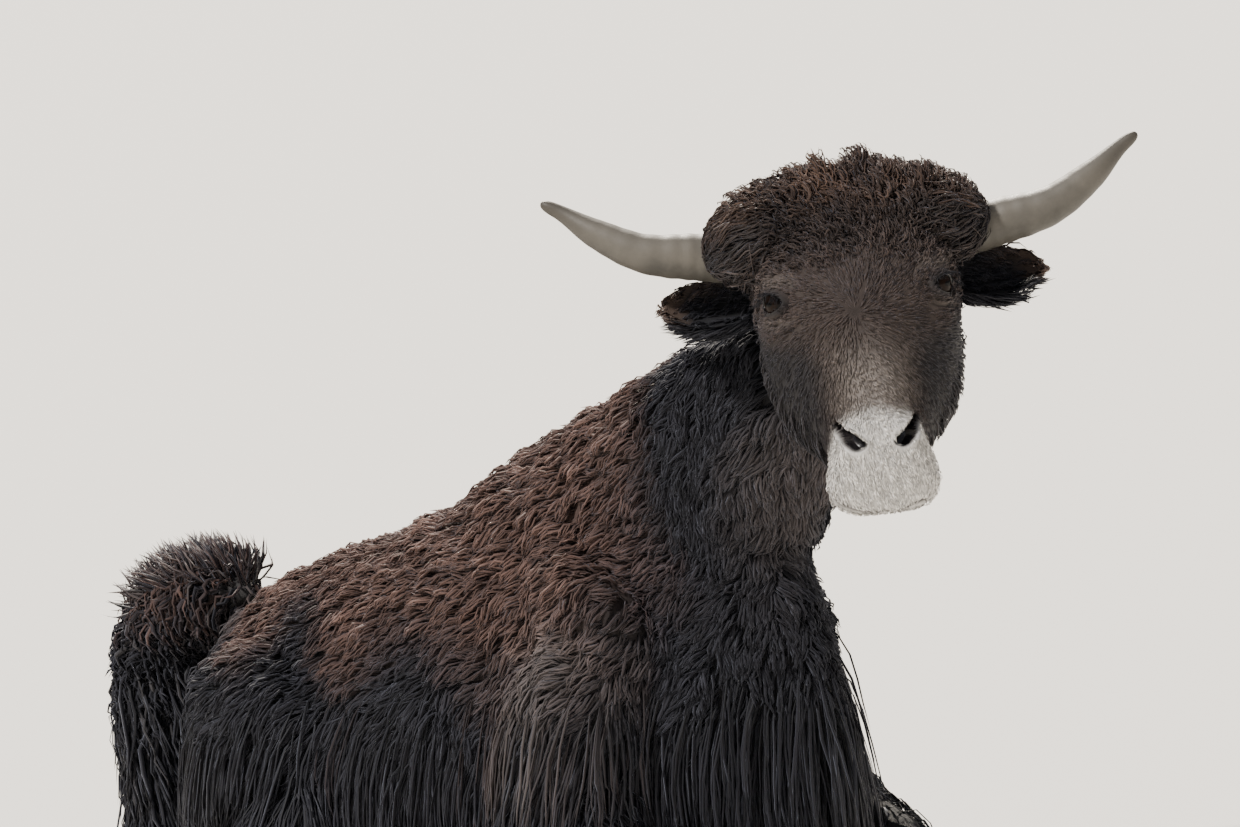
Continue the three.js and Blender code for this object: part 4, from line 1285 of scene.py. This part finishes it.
def tailUnwrap(points):
    turn = np.arctan2(points[:, 1] + 0.03, points[:, 0] + 0.55 + 0.06 * smooth(-points[:, 2], -0.36, -0.3))
    return np.stack([roundShare(turn), np.clip(1.9 * points[:, 2] + 0.05, 0.01, 0.99)], -1)


def tailMarkings(points, normals, dice):
    top = smooth(points[:, 2], 0.37, 0.42)
    shade = paint(allOver("black", points), "brown", 0.8 * top * dice.uniform(0, 1, len(points)))
    return paint(shade, "grey", 0.25 * (dice.uniform(0, 1, len(points)) > 0.86))


def tailPiece(name, size, weightOf, dice, material, reachOf=None):
    rooted = scatter(tailForm, tailNormals, weightOf, size["count"], dice)
    kind = {
        "lie": lambda p, n: np.array(size["towards"]), "pressed": True, "markings": tailMarkings,
        "unwrap": tailUnwrap,
    }
    coatPiece(name, size, rooted, kind, dice, material, reachOf)


ringlets = {
    "count": 1500, "steps": 8, "length": (0.035, 0.06), "depth": (0.012, 0.032), "width": (0.0045, 0.008),
    "flat": 0.8, "sink": 0.004, "fall": 0.12, "hold": 0.5, "rise": 0.8, "settle": 0.1, "clump": 0.02,
    "pull": 0.5, "wave": 0.0055, "turns": (1.4, 2.3), "spring": 1.0, "roll": 0.6, "uneven": 0.35,
    "loose": 0.35, "towards": [-0.7, 0, -0.5],
}
tailHair = {
    **longHair, "count": 1550, "steps": 6, "length": (0.10, 0.17), "depth": (0.010, 0.034),
    "width": (0.004, 0.008), "clump": 0.024, "wave": 0.005, "turns": (1.0, 2.0), "spring": 0.9, "fall": 0.5,
    "loose": 0.2, "towards": [-0.1, -0.1, -1.0], "swirl": None,
}
spikes = {
    **shortWool, "count": 750, "length": (0.02, 0.034), "depth": (0.03, 0.052), "width": (0.003, 0.005),
    "hold": 0.3, "clump": 0.014, "pull": 0.4, "rise": 1.0, "settle": 0.0, "wave": 0.001,
    "loose": 0.3, "towards": [-0.4, 0, 0.2], "swirl": None,
}
dice = np.random.default_rng(31)
tailPiece(
    "tail ringlets", ringlets, lambda p, n: smooth(-p[:, 0], 0.44, 0.49) * smooth(p[:, 2], 0.25, 0.34),
    dice, woolMaterial,
)
tailPiece(
    "tail hair", tailHair, lambda p, n: 1 - smooth(p[:, 2], 0.33, 0.38), dice, hairMaterial,
    lambda p: np.clip((p[:, 2:] - 0.004) / 0.14, 0.1, 1),
)
tailPiece(
    "tail spikes", spikes, lambda p, n: smooth(n[:, 2], 0.3, 0.8) * smooth(p[:, 2], 0.37, 0.40),
    dice, furMaterial,
)


# Coat of the head
def headUnwrap(points):
    a, u, n = toHead(points).T
    turn = np.arctan2(a, n + 70)
    return np.stack([roundShare(turn), (u + 240) / 480], -1)


headCoat = {
    "lie": lieOnHead, "pressed": False, "unwrap": headUnwrap, "markings": lambda p, n, dice: headMarkings(p),
}
faceFur = {
    "count": 20500, "nearEyes": 2700, "steps": 2, "length": (0.008, 0.013), "depth": (0.0012, 0.0030),
    "width": (0.0011, 0.0021), "flat": 0.5, "sink": 0.001, "fall": 0.0, "hold": 1.0, "rise": 0.8,
    "settle": 0.1, "clump": 0.006, "pull": 0.4, "wave": 0.0004, "turns": (0.5, 1.0), "spring": 0.5,
    "roll": 0.4, "uneven": 0.3, "loose": 0.14,
}
dice = np.random.default_rng(53)


def faceWeight(points, normals):
    places = toHead(points)
    u, n = places.T[1:]
    clear = (1 - smooth(nostrilShare(places), -0.5, -0.2)) * (1 - mouthShare(places)[0])
    for way in sides.values():
        p, q, r = toEye(places, way).T
        clear = clear * np.where(r > -10, smooth(np.hypot(p / 16.5, q / 11.5), 0.92, 1.1), 1)
    small = 0.6 + 0.5 * smooth(-u, 130, 170)
    front = mix(0.35, 1.0, smooth(n, -90, -20))
    return clear * small * front * (1 - smooth(u, 90, 120))


def openWeight(points, normals):  # the same, but for where the head gives way under an eye's surround
    here = faceWeight(points, normals)
    for way in sides.values():
        p, q, r = toEye(toHead(points), way).T
        clear = smooth(np.hypot(p / eyes["wide"], q / eyes["high"]), 0.8, 0.86)
        here = here * np.where(r > eyes["behind"], clear, 1)
    return here


def faceReach(points):  # longer towards the forehead, shortest round the eyes
    places = toHead(points)
    up = places[:, 1:2]
    reach = mix(0.6, 1.0, smooth(up, -190, -60)) * mix(1.0, 1.9, smooth(up, 40, 95))
    for way in sides.values():
        spots = toEye(places, way) / np.array([eyes["wide"], eyes["high"], 30])
        reach = reach * mix(0.5, 1, smooth(np.linalg.norm(spots, axis=1, keepdims=True), 0.4, 1.0))
    return reach


rooted = [
    scatter(headForm, headNormals, openWeight, faceFur["count"] - faceFur["nearEyes"], dice),
    scatter(surroundParts, normalsOf(*surroundParts), faceWeight, faceFur["nearEyes"], dice),
]
rooted = [np.concatenate(part) for part in zip(*rooted)]
coatPiece("face fur", faceFur, rooted, headCoat, dice, furMaterial, faceReach)

# cheeks, jaw and nape carry longer and looser hair
napeHair = {
    **faceFur, "count": 3500, "steps": 3, "length": (0.022, 0.036), "depth": (0.004, 0.011),
    "width": (0.0026, 0.0046), "clump": 0.014, "pull": 0.5, "wave": 0.0014, "fall": 0.03, "loose": 0.2,
}


def napeWeight(points, normals):
    u, n = toHead(points).T[1:]
    return (1 - smooth(n, -100, -62)) * smooth(u, -150, -60)


def headPiece(name, size, form, normals, weightOf, dice, material, reachOf=None, tallOf=None, kind=headCoat):
    rooted = scatter(form, normals, weightOf, size["count"], dice)
    coatPiece(name, size, rooted, kind, dice, material, reachOf, tallOf)


headPiece("cheek hair", napeHair, headForm, headNormals, napeWeight, dice, furMaterial)

curls = {
    "count": 4500, "steps": 6, "length": (0.014, 0.028), "depth": (0.012, 0.026), "width": (0.0022, 0.0040),
    "flat": 0.8, "sink": 0.003, "fall": 0.0, "hold": 0.5, "rise": 0.8, "settle": 0.1, "clump": 0.017,
    "pull": 0.6, "wave": 0.0040, "turns": (0.9, 1.5), "spring": 1.0, "roll": 0.6, "uneven": 0.4, "loose": 0.5,
}
dice = np.random.default_rng(59)


def curlWeight(points, normals):
    a, u, n = toHead(points).T
    wide = np.abs(a) / headLines["headWidth"](u)
    out = (n > headLines["faceLine"](u) - 8 - 48 * wide**4) | (wide > 0.9) | (u > 112)
    return out * smooth(seenHeight(toHead(points)), 2, 50) * (n > -62)


def curlLow(points):  # 0 low on the crown's sides, 1 on its top
    return smooth(seenHeight(toHead(points))[:, None], 45, 96)


def curlTall(points):
    spots = toHead(points)
    middle = bell(spots[:, :1], 66) * smooth(spots[:, 1:2], 95, 120)
    return mix(0.45, 1, curlLow(points)) * (1 + 0.6 * middle) * (1 + 0.35 * ripple(points, 0.04, 21)[:, None])


headPiece(
    "crown curls", curls, dome, domeNormals, curlWeight, dice, woolMaterial,
    lambda p: mix(0.7, 1, curlLow(p)), curlTall,
)

# the forehead's wool is short at the whorl and longer and curlier towards the crown
forelock = {
    **curls, "count": 4300, "steps": 5, "length": (0.013, 0.024), "depth": (0.005, 0.014),
    "width": (0.0016, 0.0030), "wave": 0.0026, "turns": (0.7, 1.2), "hold": 0.9, "clump": 0.014, "loose": 0.4,
}


def forelockWeight(points, normals):
    a, u, n = toHead(points).T
    return smooth(u + 0.12 * np.abs(a), 8, 62) * (1 - smooth(u, 112, 126)) * smooth(n, -70, -40)


def forelockReach(points):
    return mix(0.45, 1.35, smooth(toHead(points)[:, 1:2], 10, 95))


headPiece(
    "forelock", forelock, headForm, headNormals, forelockWeight, dice, woolMaterial,
    forelockReach, forelockReach,
)

sweep = {
    **curls, "count": 1700, "steps": 5, "length": (0.026, 0.05), "depth": (0.010, 0.022),
    "width": (0.0020, 0.0036), "clump": 0.016, "wave": 0.0025, "turns": (0.6, 1.1), "hold": 0.8, "rise": 0.7,
    "loose": 0.22, "towards": [1, 0.1, 0.15],
}


def sweepWeight(points, normals):
    return curlWeight(points, normals) * smooth(np.abs(toHead(points)[:, 0]), 52, 84)


def lieOutward(points, normals):
    return np.sign(toHead(points)[:, :1]) * headDirection(sweep["towards"])


outwardCoat = {**headCoat, "lie": lieOutward, "pressed": True}
headPiece("crown sweep", sweep, dome, domeNormals, sweepWeight, dice, hairMaterial, kind=outwardCoat)

# Ears: short hair behind, long soft hair in the cup and a fringe below
earHair = {
    **faceFur, "count": 1500, "steps": 3, "length": (0.018, 0.034), "depth": (0.003, 0.009),
    "width": (0.0018, 0.0034), "clump": 0.01, "wave": 0.0012, "fall": 0.3, "hold": 0.5, "loose": 0.25,
}


def earReach(points):
    a, u = np.hsplit(toHead(points), 3)[:2]
    fringe = smooth(72 - u, 0, 20) * smooth(np.abs(a), 84, 110)
    return mix(1.0, 0.45, smooth(np.abs(a), 158, 192)) * (1 + 0.9 * fringe)


def earUnwrap(points):
    a, u, n = toHead(points).T
    return np.stack([roundShare(np.arctan2(u - 82, n + 80)), (np.abs(a) - 70) / 140], -1)


earCoat = {"pressed": True, "markings": lambda p, n, dice: earMarkings(p), "unwrap": earUnwrap}
for side, way in sides.items():
    dice = np.random.default_rng(67 + way)
    rooted = scatter(earForms[side], earNormals[side], lambda p, n: 1.0, earHair["count"], dice)
    kind = {**earCoat, "lie": lambda p, n: headDirection([way, -0.15, 0])}
    coatPiece(f"ear hair {side}", earHair, rooted, kind, dice, furMaterial, earReach)

# Lashes on the upper lids
lashes = {
    "count": 46, "steps": 4, "length": (0.010, 0.016), "depth": (0.002, 0.005), "width": (0.0007, 0.0011),
    "flat": 0.8, "sink": 0.0, "fall": 0.35, "hold": 0.0, "rise": 0.6, "settle": 0.0, "clump": 0.004,
    "pull": 0.2, "wave": 0.0, "turns": (0.5, 0.6), "spring": 0.0, "roll": 0.3, "uneven": 0.1, "loose": 0.1,
    "from": 0.5, "to": 2.7, "proud": 2.2,
}
lashTurn = np.linspace(lashes["from"], lashes["to"], lashes["count"])
lashUv = np.stack([np.linspace(0.1, 0.9, lashes["count"]), 0 * lashTurn + 0.5], -1)
lashCoat = {
    "lie": lambda p, n: n, "pressed": False, "unwrap": lambda p: lashUv,
    "markings": lambda p, n, dice: np.broadcast_to(colour["lid"] * 0.5, p.shape),
}
for side, way in sides.items():
    p, q = almond(lashTurn, 1.03)
    spots = np.stack([p, q, np.sqrt((eyes["radius"] + lashes["proud"]) ** 2 - p**2 - q**2)], -1)
    roots = fromHead(fromEye(spots, way))
    rooted = (roots, unit(fromHead(fromEye(spots * 1.4, way)) - roots))
    coatPiece(
        f"lashes {side}", lashes, rooted, lashCoat, np.random.default_rng(71 + way), furMaterial
    )

# Studio: a wide pale floor, soft light from a pale sky and two broad lamps
studio = {
    "floor": 150, "floorColour": (0.72, 0.70, 0.66, 1), "sky": (0.86, 0.90, 1.0, 1), "skyStrength": 0.32,
    # name, place, strength, width in degrees, colour
    "lamps": [["key", (-0.2, -4.6, 6.2), 4.6, 6, (1, 0.96, 0.91)],
              ["rim", (-4.0, 3.8, 5.2), 8.0, 5, (1, 0.92, 0.8)]],
    "focus": (0.3, -0.05, 0.45),
}
corners = studio["floor"] * np.array([[-1, -1, 0], [1, -1, 0], [1, 1, 0], [-1, 1, 0]], float)
floor = makeObject("floor", corners, np.array([[0, 1, 2, 3]]), np.empty((0, 3), int))
material, tree, shader = newMaterial("floor")
setSurface(tree, shader, studio["floorColour"], None, 0.9)
floor.data.materials.append(material)
world = bpy.data.worlds.new("sky")
world.use_nodes = True
world.node_tree.nodes["Background"].inputs["Color"].default_value = studio["sky"]
world.node_tree.nodes["Background"].inputs["Strength"].default_value = studio["skyStrength"]
bpy.context.scene.world = world
for name, place, strength, spread, tint in studio["lamps"]:
    lamp = bpy.data.lights.new(name, "SUN")
    lamp.energy, lamp.angle, lamp.color = strength, math.radians(spread), tint
    holder = bpy.data.objects.new(name, lamp)
    holder.location = place
    holder.rotation_euler = (Vector(studio["focus"]) - Vector(place)).to_track_quat("-Z", "Y").to_euler()
    bpy.context.scene.collection.objects.link(holder)

# Camera: the photograph's angle, long lens and roll
view = {
    "azimuth": 44, "elevation": 4, "roll": 9, "focal": 9130, "picture": (1240, 827), "distance": 9.0,
    "target": (0.655, -0.155, 0.680), "targetPixel": (858, 292),
}


def cameraPlace():
    # The target's pixel fixes the ray through the picture's middle, so no shift of the lens is needed.
    azimuth, elevation, roll = (math.radians(view[part]) for part in ("azimuth", "elevation", "roll"))
    flat = math.cos(elevation)
    back = Vector((math.sin(azimuth) * flat, -math.cos(azimuth) * flat, math.sin(elevation)))
    right = Vector((math.cos(azimuth), math.sin(azimuth), 0))
    up = back.cross(right)
    pictureRight = right * math.cos(roll) - up * math.sin(roll)
    pictureUp = right * math.sin(roll) + up * math.cos(roll)
    x, y = view["targetPixel"]
    aside, above = view["picture"][0] / 2 - x, y - view["picture"][1] / 2
    ray = (-back * view["focal"] + pictureRight * aside + pictureUp * above).normalized()
    across = (pictureRight - ray * pictureRight.dot(ray)).normalized()
    turned = Matrix((across, (-ray).cross(across), -ray)).transposed().to_4x4()
    return Matrix.Translation(Vector(view["target"]) + back * view["distance"]) @ turned


camera = bpy.data.objects.new("camera", bpy.data.cameras.new("camera"))
camera.matrix_world = cameraPlace()
camera.data.sensor_width = 36
camera.data.lens = view["focal"] / view["picture"][0] * 36
camera.data.clip_end = 400
bpy.context.scene.collection.objects.link(camera)
bpy.context.scene.camera = camera
